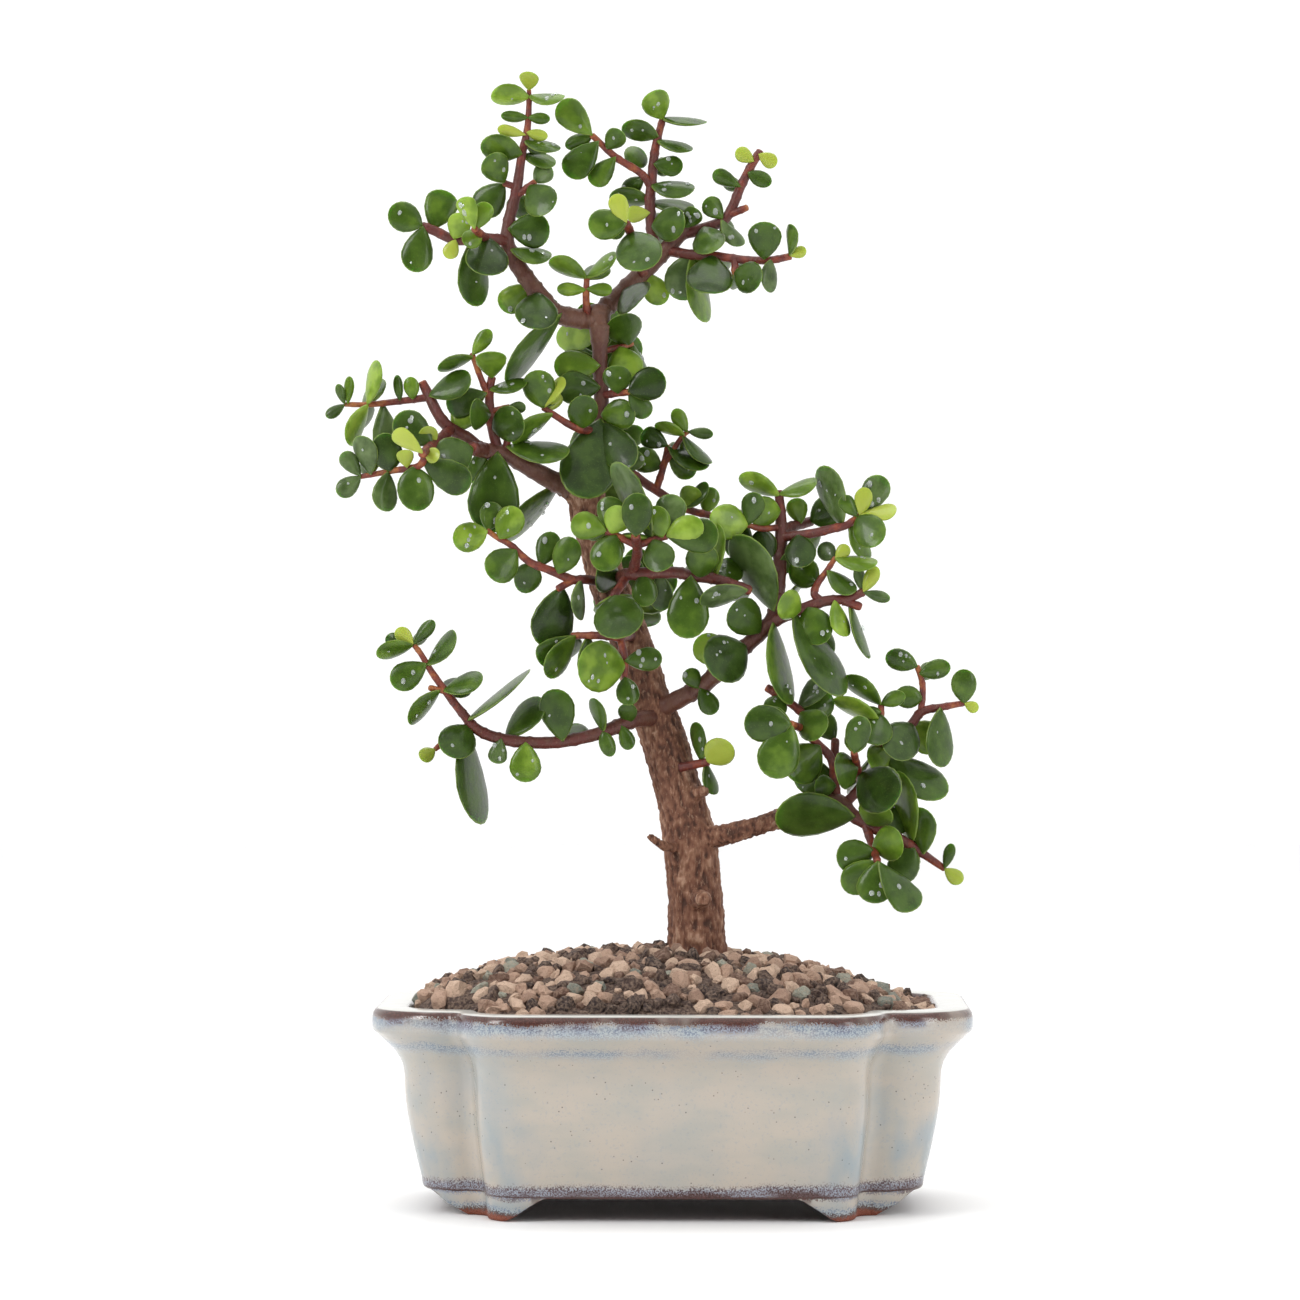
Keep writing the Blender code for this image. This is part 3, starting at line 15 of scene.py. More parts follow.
import bmesh
import bpy
import numpy as np
from bpy.types import Collection, ColorRamp, Material, Mesh, Node, NodeSocket, NodeTree, Object
from mathutils import Matrix, Quaternion, Vector, noise
from mathutils.bvhtree import BVHTree


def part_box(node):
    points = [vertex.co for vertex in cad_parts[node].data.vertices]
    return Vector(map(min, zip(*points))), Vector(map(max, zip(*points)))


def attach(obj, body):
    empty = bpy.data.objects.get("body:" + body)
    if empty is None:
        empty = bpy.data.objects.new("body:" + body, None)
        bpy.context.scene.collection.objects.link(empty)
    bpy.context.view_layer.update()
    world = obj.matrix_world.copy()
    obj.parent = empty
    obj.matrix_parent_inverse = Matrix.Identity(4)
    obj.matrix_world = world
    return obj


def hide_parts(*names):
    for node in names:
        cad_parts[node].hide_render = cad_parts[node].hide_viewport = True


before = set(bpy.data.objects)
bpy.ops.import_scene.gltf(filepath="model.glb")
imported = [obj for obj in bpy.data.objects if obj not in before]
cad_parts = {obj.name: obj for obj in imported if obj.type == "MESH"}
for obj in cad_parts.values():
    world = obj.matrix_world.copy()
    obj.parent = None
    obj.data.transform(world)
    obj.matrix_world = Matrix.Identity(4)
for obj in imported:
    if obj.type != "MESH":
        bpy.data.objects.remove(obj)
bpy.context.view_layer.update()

log = logging.getLogger("bonsai")

MM = 0.001
Pair = tuple[float, float]
SEED = 11

# Viewer of the readings: where the eye stands, and how far the pot is turned to it
EYE_X, EYE_DISTANCE, EYE_HEIGHT = -6.5, 1350.0, 153.0
POT_TURN = math.radians(1.0)
DEPTH_SPREAD = 1.8
LENS, SENSOR = 135.0, 36.0

POT_LOW, POT_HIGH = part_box("pot")
POT_MIDDLE = Vector(((POT_LOW[0] + POT_HIGH[0]) / 2, (POT_LOW[1] + POT_HIGH[1]) / 2, 0.0))

# Leaves, as the solids have them
LEAF_THICK, YOUNG_THICK = 1.9, 1.3
LEAF_BOW, LEAF_CUP = 0.05, 0.10
BIG_LEAF = 11.5
ROLLED_FROM, ROLLED_BELOW, ROLLED_WIDTH = 8.0, 0.6, 0.74
BASE_FULLNESS, MORE_FULLNESS = 1.35, 3.2
FULL_SLOPE, LEAST_SLOPE = 1.14, 0.12
SHORTEST_SEEN, BLADE_BELLY = 2.0, 0.62
ROOT_SINK = 0.5
CLEARANCE = 0.4
TILTS = (0, 9, -9, 18, -18, 28, -28, 40, -40, 52, -52)
SHRINKS = (1.0, 0.92, 0.84, 0.72)
OVER_STEM, OVER_ROOT, OVER_UP = 0.55, 0.8, 0.35
MOST_STRETCH, NEAREST_BELLY, FARTHEST_BELLY = 1.25, 0.48, 0.76
OPPOSITE_FROM, OPPOSITE_SHARE, OPPOSITE_SIZE = 7.5, 0.2, 0.9
OPPOSITE_FLAT, OPPOSITE_BACK, OPPOSITE_BELLY = 0.6, 0.5, 0.55
PAIR_LENGTH, PAIR_SHORTER, PAIR_FROM, PAIR_UP = 13.5, 0.4, 0.3, 0.45
PAIR_WIDTH, PAIR_BELLY, PAIR_START, PAIR_TURN = 0.82, 0.56, 30.0, 90.0


class Look(Enum):
    """How a leaf looks, by its mark in the tables."""

    PLAIN = ""
    # Light-marked leaves (l) are painted lighter, as if lit through from behind; dark-marked ones (d) are partly their
    # own darker green and partly painted shade.
    LIGHT = "l"
    DARK = "d"
    # Frost-marked leaves (f) get a pale painted sheen over a dull bloom.
    FROSTED = "f"
    YOUNG = "y"


class Slot(Enum):
    """The record's material slots."""

    GLAZE = "glaze"
    SOIL = "soil"
    BARK = "bark"
    LEAF = "leaf"
    SCREEN = "screen_plastic"


# Nodes and colours

def linear(hex_colour: str) -> tuple[float, float, float, float]:
    """Turn an sRGB colour into a linear one.

    Args:
        hex_colour: six hex digits.

    Returns:
        Red, green, blue and an alpha of 1.
    """
    parts = [int(hex_colour[i:i + 2], 16) / 255 for i in (0, 2, 4)]
    red, green, blue = (p / 12.92 if p <= 0.04045 else ((p + 0.055) / 1.055) ** 2.4 for p in parts)
    return red, green, blue, 1.0


def add_node(tree: NodeTree, kind: str, feeds: dict[int | str, Any] | None = None, **settings: Any) -> Node:
    """Add a node with its settings, and feed its inputs.

    Args:
        tree: the tree that the node goes into.
        kind: the node's type name.
        feeds: for each input's name or number, a value or what it is linked from.
        settings: the node's own properties.

    Returns:
        The new node.
    """
    node = tree.nodes.new(kind)
    for name, value in settings.items():
        setattr(node, name, value)
    for key, value in (feeds or {}).items():
        feed(tree, node.inputs[key], value)
    return node


def feed(tree: NodeTree, socket: NodeSocket, value: Any) -> None:
    """Link an input from another socket, or give it a value of its own.

    Args:
        tree: the tree that the input is in.
        socket: the input.
        value: the other socket, a node that stands for its first output, or the value.
    """
    if isinstance(value, Node):
        value = value.outputs[0]
    if isinstance(value, NodeSocket):
        tree.links.new(value, socket)
    else:
        socket.default_value = value


def set_ramp(ramp: ColorRamp, stops: Sequence[tuple[float, str]]) -> None:
    """Give a colour ramp its stops.

    Args:
        ramp: the colour ramp.
        stops: places from 0 to 1 and their hex colours, in order.
    """
    while len(ramp.elements) < len(stops):
        ramp.elements.new(1.0)
    for element, (place, colour) in zip(ramp.elements, stops):
        element.position = place
        element.color = linear(colour)


@dataclass(frozen=True)
class Cloud:
    """Soft noise from 0 to 1 whose features are about size_mm across, stretched along each axis."""

    name: str
    size_mm: float
    stretch: tuple[float, float, float] = (1.0, 1.0, 1.0)
    detail: float = 3.0


@dataclass(frozen=True)
class Span:
    """A named value's range from low to high mapped onto start to end, clamped and eased."""

    value: str
    low: float
    high: float
    start: float = 0.0
    end: float = 1.0


Factor = str | float | Span
Terms = tuple[tuple[Factor, ...], ...]
Stops = tuple[tuple[float, str], ...]


@dataclass(frozen=True)
class Mottle:
    """A colour that goes from one hex colour to another as a value goes through its span."""

    first: str
    last: str
    by: Span


@dataclass(frozen=True)
class Layer:
    """A colour over those before it, as strong as the product of its factors."""

    colour: str | Mottle
    factors: tuple[Factor, ...]


@dataclass(frozen=True)
class Finish:
    """What one kind of surface is made of, and how the light meets it.

    Its values are attributes of the mesh, clouds of noise and sums worked out
    from them, each by name. A factor is a value's name, a number or a span, and
    terms are summed products of factors. The ground is one colour, or a ramp
    read at the sum called shade, and the layers lie over it in their order.
    """

    name: str
    slot: Slot
    roughness: float = 0.5
    ior: float = 1.5
    attributes: tuple[str, ...] = ()
    clouds: tuple[Cloud, ...] = ()
    sums: tuple[tuple[str, Terms], ...] = ()
    ground: str | Stops = "808080"
    stepped: bool = False
    shade: Terms = ()
    layers: tuple[Layer, ...] = ()
    rough: Terms = ()
    relief: Terms = ()
    relief_mm: float = 0.0
    constants: tuple[tuple[str, Any], ...] = ()

    def product(self, tree: NodeTree, values: dict[str, Any], factors: Sequence[Factor]) -> Any:
        """Multiply factors.

        Args:
            tree: the material's tree.
            values: the named values.
            factors: what is multiplied.

        Returns:
            The product, or the only factor itself.
        """
        result = None
        for factor in factors:
            given = values[factor] if isinstance(factor, str) else factor
            if isinstance(factor, Span):
                given = add_node(tree, "ShaderNodeMapRange", {
                    0: values[factor.value], 1: factor.low, 2: factor.high, 3: factor.start, 4: factor.end},
                    interpolation_type="SMOOTHSTEP")
            result = given if result is None else add_node(
                tree, "ShaderNodeMath", {0: result, 1: given}, operation="MULTIPLY")
        return result

    def total(self, tree: NodeTree, values: dict[str, Any], terms: Terms) -> Any:
        """Sum the products of terms.

        Args:
            tree: the material's tree.
            values: the named values.
            terms: what is summed.

        Returns:
            The sum, or the only product itself.
        """
        result, *others = (self.product(tree, values, factors) for factors in terms)
        for other in others:
            result = add_node(tree, "ShaderNodeMath", {0: result, 1: other}, operation="ADD")
        return result

    def measures(self, tree: NodeTree, place: NodeSocket) -> dict[str, Any]:
        """Return the values that only this finish has, from the object's coordinates."""
        return {}

    def named_values(self, tree: NodeTree) -> dict[str, Any]:
        """Make the named values.

        Args:
            tree: the material's tree.

        Returns:
            What gives each of them.
        """
        place = add_node(tree, "ShaderNodeTexCoord").outputs["Object"]
        made = {name: add_node(tree, "ShaderNodeAttribute", attribute_name=name).outputs["Fac"]
                for name in self.attributes}
        for cloud in self.clouds:
            scaled = add_node(tree, "ShaderNodeMapping", {0: place, 3: tuple(1 / s for s in cloud.stretch)})
            made[cloud.name] = add_node(tree, "ShaderNodeTexNoise", {
                "Vector": scaled, "Scale": 1 / (cloud.size_mm * MM), "Detail": cloud.detail})
        made.update(self.measures(tree, place))
        for name, terms in self.sums:
            made[name] = self.total(tree, made, terms)
        return made

    def colour(self, tree: NodeTree, values: dict[str, Any]) -> Any:
        """Lay the layers over the ground.

        Args:
            tree: the material's tree.
            values: the named values.

        Returns:
            The topmost colour.
        """
        if isinstance(self.ground, str):
            top = linear(self.ground)
        else:
            ramp = add_node(tree, "ShaderNodeValToRGB", {0: self.total(tree, values, self.shade)})
            ramp.color_ramp.interpolation = "CONSTANT" if self.stepped else "LINEAR"
            set_ramp(ramp.color_ramp, self.ground)
            top = ramp.outputs["Color"]
        for layer in self.layers:
            if isinstance(layer.colour, Mottle):
                over = add_node(tree, "ShaderNodeMix", {
                    0: self.product(tree, values, (layer.colour.by,)), 6: linear(layer.colour.first),
                    7: linear(layer.colour.last)}, data_type="RGBA").outputs[2]
            else:
                over = linear(layer.colour)
            top = add_node(tree, "ShaderNodeMix", {
                0: self.product(tree, values, layer.factors), 6: top, 7: over}, data_type="RGBA").outputs[2]
        return top

    def material(self) -> Material:
        """Make the material: its constants, then its colour, its gloss and its relief.

        Returns:
            The material.
        """
        made = bpy.data.materials.new(self.name)
        made.use_nodes = True
        tree = made.node_tree
        shader = tree.nodes["Principled BSDF"]
        for name, value in (("Roughness", self.roughness), ("IOR", self.ior), *self.constants):
            shader.inputs[name].default_value = value
        values = self.named_values(tree)
        feed(tree, shader.inputs["Base Color"], self.colour(tree, values))
        if self.rough:
            feed(tree, shader.inputs["Roughness"], self.total(tree, values, self.rough))
        if self.relief:
            bumps = add_node(tree, "ShaderNodeBump", {
                "Height": self.total(tree, values, self.relief), "Distance": self.relief_mm * MM, "Strength": 1.0})
            feed(tree, shader.inputs["Normal"], bumps)
        return made


@dataclass(frozen=True)
class WaxyLeaf(Finish):
    """Fleshy jade leaf: a waxy skin over watery green tissue, which gives soft wide glints and lets light in.

    Each leaf carries its tone, which holds painted light and shade besides its own green, its frost and painted sheen,
    and its youth; each point carries its distance from the rim.
    """

    name: str = "waxy_jade_leaf"
    slot: Slot = Slot.LEAF
    roughness: float = 0.34
    ior: float = 1.45
    attributes: tuple[str, ...] = ("tone", "frost", "youth", "rim")
    clouds: tuple[Cloud, ...] = (Cloud("clouds", 5.0), Cloud("speck", 0.45, detail=1.0), Cloud("folds", 2.2))
    shade: Terms = (("tone",), (Span("clouds", 0.3, 0.7, -0.12, 0.12),))
    ground: Stops = (
        (0.0, "162406"), (0.3, "2A400A"), (0.55, "3E5812"), (0.8, "627F1F"), (1.0, "8CA838"))
    layers: tuple[Layer, ...] = (
        Layer("A9B345", ("youth",)),
        Layer("6A883C", (Span("speck", 0.6, 0.75, 0.0, 0.16),)),
        # Pale grey-green where a leaf is frosted: painted sheen, over a dull waxy bloom that also roughens it.
        Layer("78895F", ("frost", Span("clouds", 0.35, 0.65, 0.2, 0.7))),
        # Paler along the rim: partly the leaf's own pale margin, partly painted highlight on its thin edge.
        Layer("8A9C4A", (Span("rim", 0.006, 0.03, 0.5, 0.0),)))
    rough: Terms = ((Span("clouds", 0.3, 0.7, 0.3, 0.44),), ("frost", 0.2))
    relief: Terms = (("folds",),)
    relief_mm: float = 0.12
    constants: tuple[tuple[str, Any], ...] = (
        ("Subsurface Weight", 0.18), ("Subsurface Radius", (0.5, 1.0, 0.2)), ("Subsurface Scale", 1.5 * MM),
        ("Specular IOR Level", 0.22), ("Coat Weight", 0.25), ("Coat Roughness", 0.12))


@dataclass(frozen=True)
class WaterDrop(Finish):
    """Water left by misting, half clear and whitish: its near-white colour paints the drops' bright glints."""

    name: str = "water_drop"
    slot: Slot = Slot.LEAF
    roughness: float = 0.02
    ior: float = 1.333
    # Near white, so the drops carry painted glints besides their real ones.
    ground: str = "F4FAF6"
    constants: tuple[tuple[str, Any], ...] = (("Transmission Weight", 0.7),)


@dataclass(frozen=True)
class TwigBark(Finish):
    """Green-wood skin that reddens and then greys as a twig thickens, with fine lengthwise wrinkles.

    Each point carries the twig's radius as its girth.
    """

    name: str = "twig_bark"
    slot: Slot = Slot.BARK
    roughness: float = 0.5
    attributes: tuple[str, ...] = ("girth",)
    clouds: tuple[Cloud, ...] = (Cloud("clouds", 3.0), Cloud("fleck", 0.7, (1.0, 1.0, 2.0)), Cloud("dark", 1.1))
    sums: tuple[tuple[str, Terms], ...] = (
        ("girth_mm", (("girth", 1 / MM), (Span("clouds", 0.3, 0.7, -0.35, 0.35),))),)
    shade: Terms = ((Span("girth_mm", 0.4, 3.4),),)
    ground: Stops = (
        (0.0, "9A5A2C"), (0.06, "7A331F"), (0.2, "5A221B"), (0.5, "53281F"), (1.0, "63402F"))
    layers: tuple[Layer, ...] = (
        Layer("75543F", (Span("fleck", 0.58, 0.7, 0.0, 0.4),)),
        Layer("221011", (Span("dark", 0.6, 0.75, 0.0, 0.5),)))
    relief: Terms = (("fleck",),)
    relief_mm: float = 0.25


@dataclass(frozen=True)
class TrunkBark(Finish):
    """Old stem skin: brown, papery and split lengthwise, so it is matt with pale torn edges.

    Each point carries the carved relief, from 0 in a crack to 1 on a plate.
    """

    name: str = "trunk_bark"
    slot: Slot = Slot.BARK
    roughness: float = 0.78
    attributes: tuple[str, ...] = ("relief",)
    clouds: tuple[Cloud, ...] = (Cloud("fibre", 0.6, (1.0, 1.0, 3.0), 4.0), Cloud("clouds", 6.0, (1.0, 1.0, 2.0)))
    # The ramp runs dark in the carved cracks and pale on the plates, and the fine fibre noise darkens where it is low:
    # partly the bark's own colour, partly painted shade in the cracks and painted light on the plates.
    shade: Terms = (("relief",), (Span("clouds", 0.3, 0.7, -0.18, 0.18),))
    ground: Stops = (
        (0.0, "46291C"), (0.28, "603B2A"), (0.55, "754C38"), (0.8, "87604A"), (1.0, "A8846D"))
    layers: tuple[Layer, ...] = (
        Layer("B08B72", (Span("fibre", 0.55, 0.7, 0.0, 0.5),)),
        Layer("24130E", (Span("fibre", 0.3, 0.42, 0.3, 0.0),)))
    relief: Terms = (("fibre",),)
    relief_mm: float = 0.5


GLAZE_BLUE = Mottle("5D6C86", "A0ABB0", Span("grain", 0.35, 0.62))
GLAZE_VIOLET = Mottle("4C3038", "8C93A2", Span("grain", 0.4, 0.6))
GLAZE_BROWN = Mottle("3B1D17", "5A332C", Span("grain", 0.4, 0.7))
BARE_CLAY = Mottle("6E3524", "8F533D", Span("grain", 0.35, 0.65))


def glaze_band(colour: Mottle, low: float, high: float, soft_low: float, soft_high: float, *strength: Factor) -> Layer:
    """Return a glaze band between two heights in millimetres, whose edges fade over twice their softness."""
    return Layer(colour, (Span("level", low - soft_low, low + soft_low),
                          Span("level", high - soft_high, high + soft_high, 1.0, 0.0), *strength))


@dataclass(frozen=True)
class CreamGlaze(Finish):
    """Thick cream stoneware glaze, gloss fired: blue-violet where it pools and brown where it runs thin.

    Its heights are in millimetres over the stand; the level is the height with
    a wandering, grainy edge. Below the last band the feet are bare clay.
    """

    name: str = "cream_stoneware_glaze"
    slot: Slot = Slot.GLAZE
    roughness: float = 0.16
    ior: float = 1.52
    pore_apart: float = 1.9
    clouds: tuple[Cloud, ...] = (
        Cloud("wander", 13.0), Cloud("patch", 11.0, (1.6, 1.6, 0.7)), Cloud("grain", 0.42, detail=2.0),
        Cloud("pool", 15.0, (1.0, 1.0, 1.8)), Cloud("mist", 0.8, detail=1.0), Cloud("freckled", 5.0))
    sums: tuple[tuple[str, Terms], ...] = (
        ("level", (("height",), (Span("wander", 0.2, 0.8, -0.7, 0.7),), (Span("grain", 0.2, 0.8, -0.8, 0.8),))),
        ("bare", ((Span("level", 1.5, 1.9, 1.0, 0.0),),)))
    ground: str = "B3A99D"
    layers: tuple[Layer, ...] = (
        Layer("A8A49B", (Span("patch", 0.35, 0.7),)),
        Layer("8496A0", (Span("pool", 0.42, 0.66), Span("height", 12.0, 44.0, 1.0, 0.35),
                         Span("sideways", 30.0, 52.0, 0.12, 0.8))),
        Layer("8796A0", (Span("mist", 0.58, 0.72, 0.0, 0.25),)),
        Layer("4A484E", (Span("pore", 0.07, 0.13, 1.0, 0.0), Span("freckled", 0.42, 0.56), 0.8)),
        glaze_band(GLAZE_BLUE, 44.6, 46.9, 1.3, 1.0, Span("patch", 0.32, 0.62, 0.12, 0.8)),
        glaze_band(GLAZE_BLUE, 50.4, 53.8, 1.3, 0.4, Span("patch", 0.36, 0.6, 0.15, 0.85)),
        glaze_band(GLAZE_VIOLET, 52.0, 54.2, 0.7, 0.3, Span("pool", 0.48, 0.6, 0.0, 0.85)),
        glaze_band(GLAZE_BROWN, 54.0, 57.5, 0.35, 0.3, Span("pool", 0.3, 0.5, 0.55, 0.97)),
        glaze_band(GLAZE_VIOLET, 6.2, 9.6, 0.3, 0.9, 0.9),
        glaze_band(GLAZE_BROWN, 6.0, 8.6, 0.3, 0.9, Span("patch", 0.4, 0.58), 0.9),
        glaze_band(GLAZE_BLUE, 2.4, 3.7, 0.5, 0.7, 0.8),
        glaze_band(GLAZE_BROWN, 1.5, 2.6, 0.4, 0.5, 0.9),
        # Brown on the faces that turn down, about 5 to 12 mm up, under the flared base.
        Layer(GLAZE_BROWN, (Span("facing_up", -0.7, -0.3, 1.0, 0.0), Span("height", 4.6, 5.6),
                      Span("height", 10.0, 14.0, 1.0, 0.0))),
        # Near white on the rim's flat top: partly a paler glaze there, partly painted light from above.
        Layer("CDCCC6", (Span("height", 55.7, 55.95),)),
        Layer(BARE_CLAY, ("bare",)))
    rough: Terms = ((Span("bare", 0.0, 1.0, 0.16, 0.82),),)
    relief: Terms = (("wander",), ("grain", 0.05))
    relief_mm: float = 0.3

    def measures(self, tree: NodeTree, place: NodeSocket) -> dict[str, Any]:
        """Measure where on the pot a point lies, how far it is from a pore and whether it faces up.

        Args:
            tree: the material's tree.
            place: the object's coordinates.

        Returns:
            What gives each of them; lengths are in millimetres from the pot's middle.
        """
        centred = add_node(tree, "ShaderNodeVectorMath", {0: place, 1: POT_MIDDLE}, operation="SUBTRACT")
        lengths = add_node(tree, "ShaderNodeVectorMath", {0: centred, "Scale": 1 / MM}, operation="SCALE")
        sizes = add_node(tree, "ShaderNodeVectorMath", {0: lengths}, operation="ABSOLUTE")
        sideways, _, height = add_node(tree, "ShaderNodeSeparateXYZ", {0: sizes}).outputs
        normal = add_node(tree, "ShaderNodeNewGeometry").outputs["Normal"]
        facing_up = add_node(tree, "ShaderNodeSeparateXYZ", {0: normal}).outputs[2]
        pore = add_node(tree, "ShaderNodeTexVoronoi", {
            "Vector": place, "Scale": 1 / (self.pore_apart * MM), "Randomness": 1.0}).outputs["Distance"]
        return {"sideways": sideways, "height": height, "facing_up": facing_up, "pore": pore}


@dataclass(frozen=True)
class MineralGrain(Finish):
    """Baked clay crumbs, dark lava and grey-green pumice, broken and sieved: dusty, pitted and matt.

    Each grain carries its kind, which the stepped ramp turns into its colour.
    """

    name: str = "mineral_grain"
    slot: Slot = Slot.SOIL
    roughness: float = 0.9
    attributes: tuple[str, ...] = ("kind",)
    clouds: tuple[Cloud, ...] = (Cloud("dust", 0.8), Cloud("pits", 0.35))
    shade: Terms = (("kind",),)
    stepped: bool = True
    ground: Stops = (
        (0.0, "CDB09A"), (0.22, "B89884"), (0.42, "9A7C6B"), (0.56, "6A4F43"), (0.66, "42322E"), (0.84, "2E2222"),
        (0.93, "96998C"), (0.97, "7A8178"))
    layers: tuple[Layer, ...] = (
        Layer("B59A84", (Span("dust", 0.35, 0.7, 0.0, 0.4),)),
        # Darker in the fine pits, which the bump sinks: partly the grains' own dark pores, partly painted shade in
        # them.
        Layer("2E1D17", (Span("pits", 0.3, 0.45, 0.4, 0.0),)))
    relief: Terms = (("pits",), ("dust",))
    relief_mm: float = 0.45


@dataclass(frozen=True)
class ScreenPlastic(Finish):
    """Black polypropylene mesh, injection moulded: a dull dark skin with a fine pebble."""

    name: str = "moulded_screen_plastic"
    slot: Slot = Slot.SCREEN
    roughness: float = 0.55
    ior: float = 1.49
    clouds: tuple[Cloud, ...] = (Cloud("pebble", 0.4),)
    ground: str = "16181A"
    layers: tuple[Layer, ...] = (Layer("2A2D30", ("pebble",)),)
    relief: Terms = (("pebble",),)
    relief_mm: float = 0.05


@dataclass(frozen=True)
class PaperFloor(Finish):
    """White seamless studio paper, plain and nearly matt."""

    name: str = "studio_paper"
    slot: Slot = Slot.SOIL
    roughness: float = 0.6
    ground: str = "FBFBFB"


# Placing and meshes

def from_front(x: float, z: float, depth: float = 0.0) -> Vector:
    """Return the point seen at (x, z) from the front, at a depth behind the trunk's plane."""
    spread = 1 + depth / EYE_DISTANCE
    return Vector((EYE_X + (x - EYE_X) * spread, depth, EYE_HEIGHT + (z - EYE_HEIGHT) * spread))


def plant_place() -> Matrix:
    """Return the matrix from the plant's millimetres to the part's metres."""
    return Matrix.Translation(POT_MIDDLE) @ Matrix.Rotation(POT_TURN, 4, "Z") @ Matrix.Scale(MM, 4)


def pot_place() -> Matrix:
    """Return the matrix from the pot's millimetres to the part's metres."""
    return Matrix.Translation(POT_MIDDLE) @ Matrix.Scale(MM, 4)


def add_object(name: str, data: Any) -> Object:
    """Put a new object with its data into the scene."""
    made = bpy.data.objects.new(name, data)
    bpy.context.scene.collection.objects.link(made)
    return made


def new_object(name: str, points: Sequence[Sequence[float]], faces: Sequence[Sequence[int]],
               place: Matrix) -> Object:
    """Make a smooth-shaded object at the origin.

    Args:
        name: the object's name.
        points: its corners, in millimetres.
        faces: its faces, each a list of corner numbers.
        place: the matrix from those millimetres to the part.

    Returns:
        The new object.
    """
    mesh = bpy.data.meshes.new(name)
    mesh.from_pydata([place @ Vector(p) for p in points], [], faces)
    mesh.validate()
    mesh.shade_smooth()
    return add_object(name, mesh)


def take_modified_mesh(body: Object) -> Object:
    """Replace an object by one whose plain mesh is what its modifiers make of it."""
    depsgraph = bpy.context.evaluated_depsgraph_get()
    mesh = bpy.data.meshes.new_from_object(body.evaluated_get(depsgraph))
    name = body.name
    bpy.data.objects.remove(body, do_unlink=True)
    mesh.name = name
    return add_object(name, mesh)


def remove(bodies: Iterable[Object]) -> None:
    """Remove objects from the scene."""
    for body in bodies:
        bpy.data.objects.remove(body, do_unlink=True)


def ring_mesh(rings: Sequence[Sequence[Sequence[float]]]) -> tuple[list, list]:
    """Skin closed rings of equal length, in order, and cap the first and the last.

    Args:
        rings: the rings, counter-clockwise from their far side.

    Returns:
        The points and the faces.
    """
    points = [p for ring in rings for p in ring]
    count = len(rings[0])
    faces = [tuple(reversed(range(count)))]
    for k in range(len(rings) - 1):
        low, high = k * count, (k + 1) * count
        for i in range(count):
            j = (i + 1) % count
            faces.append((low + i, low + j, high + j, high + i))
    faces.append(tuple(range((len(rings) - 1) * count, len(rings) * count)))
    return points, faces


def through(knots: Sequence[Sequence[float]], steps: int) -> list[np.ndarray]:
    """Return points on a smooth curve through the knots, steps of them to each span."""
    array = [np.array(k, float) for k in knots]
    ends = [2 * array[0] - array[1], *array, 2 * array[-1] - array[-2]]
    curve = []
    for a, b, c, d in zip(ends, ends[1:], ends[2:], ends[3:]):
        for i in range(steps):
            t = i / steps
            curve.append(0.5 * (2 * b + (c - a) * t + (2 * a - 5 * b + 4 * c - d) * t * t
                                + (3 * b - a - 3 * c + d) * t ** 3))
    return [*curve, array[-1]]


def set_attribute(mesh: Mesh, name: str, kind: str, values: Sequence) -> None:
    """Store one value for each point of a mesh."""
    layer = mesh.attributes.new(name, kind, "POINT")
    key = "vector" if kind == "FLOAT_VECTOR" else "value"
    layer.data.foreach_set(key, np.array(values).ravel())


def new_group(name: str, sockets: Sequence[tuple[str, str]]) -> tuple[NodeTree, Node]:
    """Make a geometry node group.

    Args:
        name: the group's name.
        sockets: the names and kinds of its inputs after the geometry.

    Returns:
        The group and its input node.
    """
    tree = bpy.data.node_groups.new(name, "GeometryNodeTree")
    tree.interface.new_socket("Geometry", in_out="INPUT", socket_type="NodeSocketGeometry")
    for label, kind in sockets:
        tree.interface.new_socket(label, in_out="INPUT", socket_type=kind)
    tree.interface.new_socket("Geometry", in_out="OUTPUT", socket_type="NodeSocketGeometry")
    return tree, add_node(tree, "NodeGroupInput")


def close_group(tree: NodeTree, geometry: Node, finish: NodeSocket, soft: bool = True) -> None:
    """End a group: realize its instances, shade them smooth or flat and set their material."""
    real = add_node(tree, "GeometryNodeRealizeInstances", {0: geometry})
    smooth = add_node(tree, "GeometryNodeSetShadeSmooth", {0: real, "Shade Smooth": soft})
    painted = add_node(tree, "GeometryNodeSetMaterial", {0: smooth, "Material": finish})
    add_node(tree, "NodeGroupOutput", {0: painted})


def grow(body: Object, tree: NodeTree, values: dict[str, Any]) -> Object:
    """Run a geometry node group on an object and keep its result as a plain mesh.

    Args:
        body: the object that the group starts from.
        tree: the group.
        values: the value of each named input.

    Returns:
        The finished object.
    """
    modifier = body.modifiers.new(tree.name, "NODES")
    modifier.node_group = tree
    for item in tree.interface.items_tree:
        if item.in_out == "INPUT" and item.name in values:
            modifier[item.identifier] = values[item.name]
    return take_modified_mesh(body)


def dress(piece: Object, finish: Finish, material: Material, *nodes: str) -> None:
    """Give a finished piece its material, its body and the nodes that it stands for."""
    piece.data.materials.clear()
    piece.data.materials.append(material)
    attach(piece, "root")
    if nodes:
        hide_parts(*nodes)
    piece.data.calc_loop_triangles()
    log.info("%s: %d triangles", piece.name, len(piece.data.loop_triangles))


# Pot

def arc(cx: float, cy: float, radius: float, start: float, end: float, steps: int) -> list[Pair]:
    """Return the points of an arc between two angles in degrees, both ends included."""
    angles = [math.radians(start + (end - start) * i / steps) for i in range(steps + 1)]
    return [(cx + radius * math.cos(a), cy + radius * math.sin(a)) for a in angles]


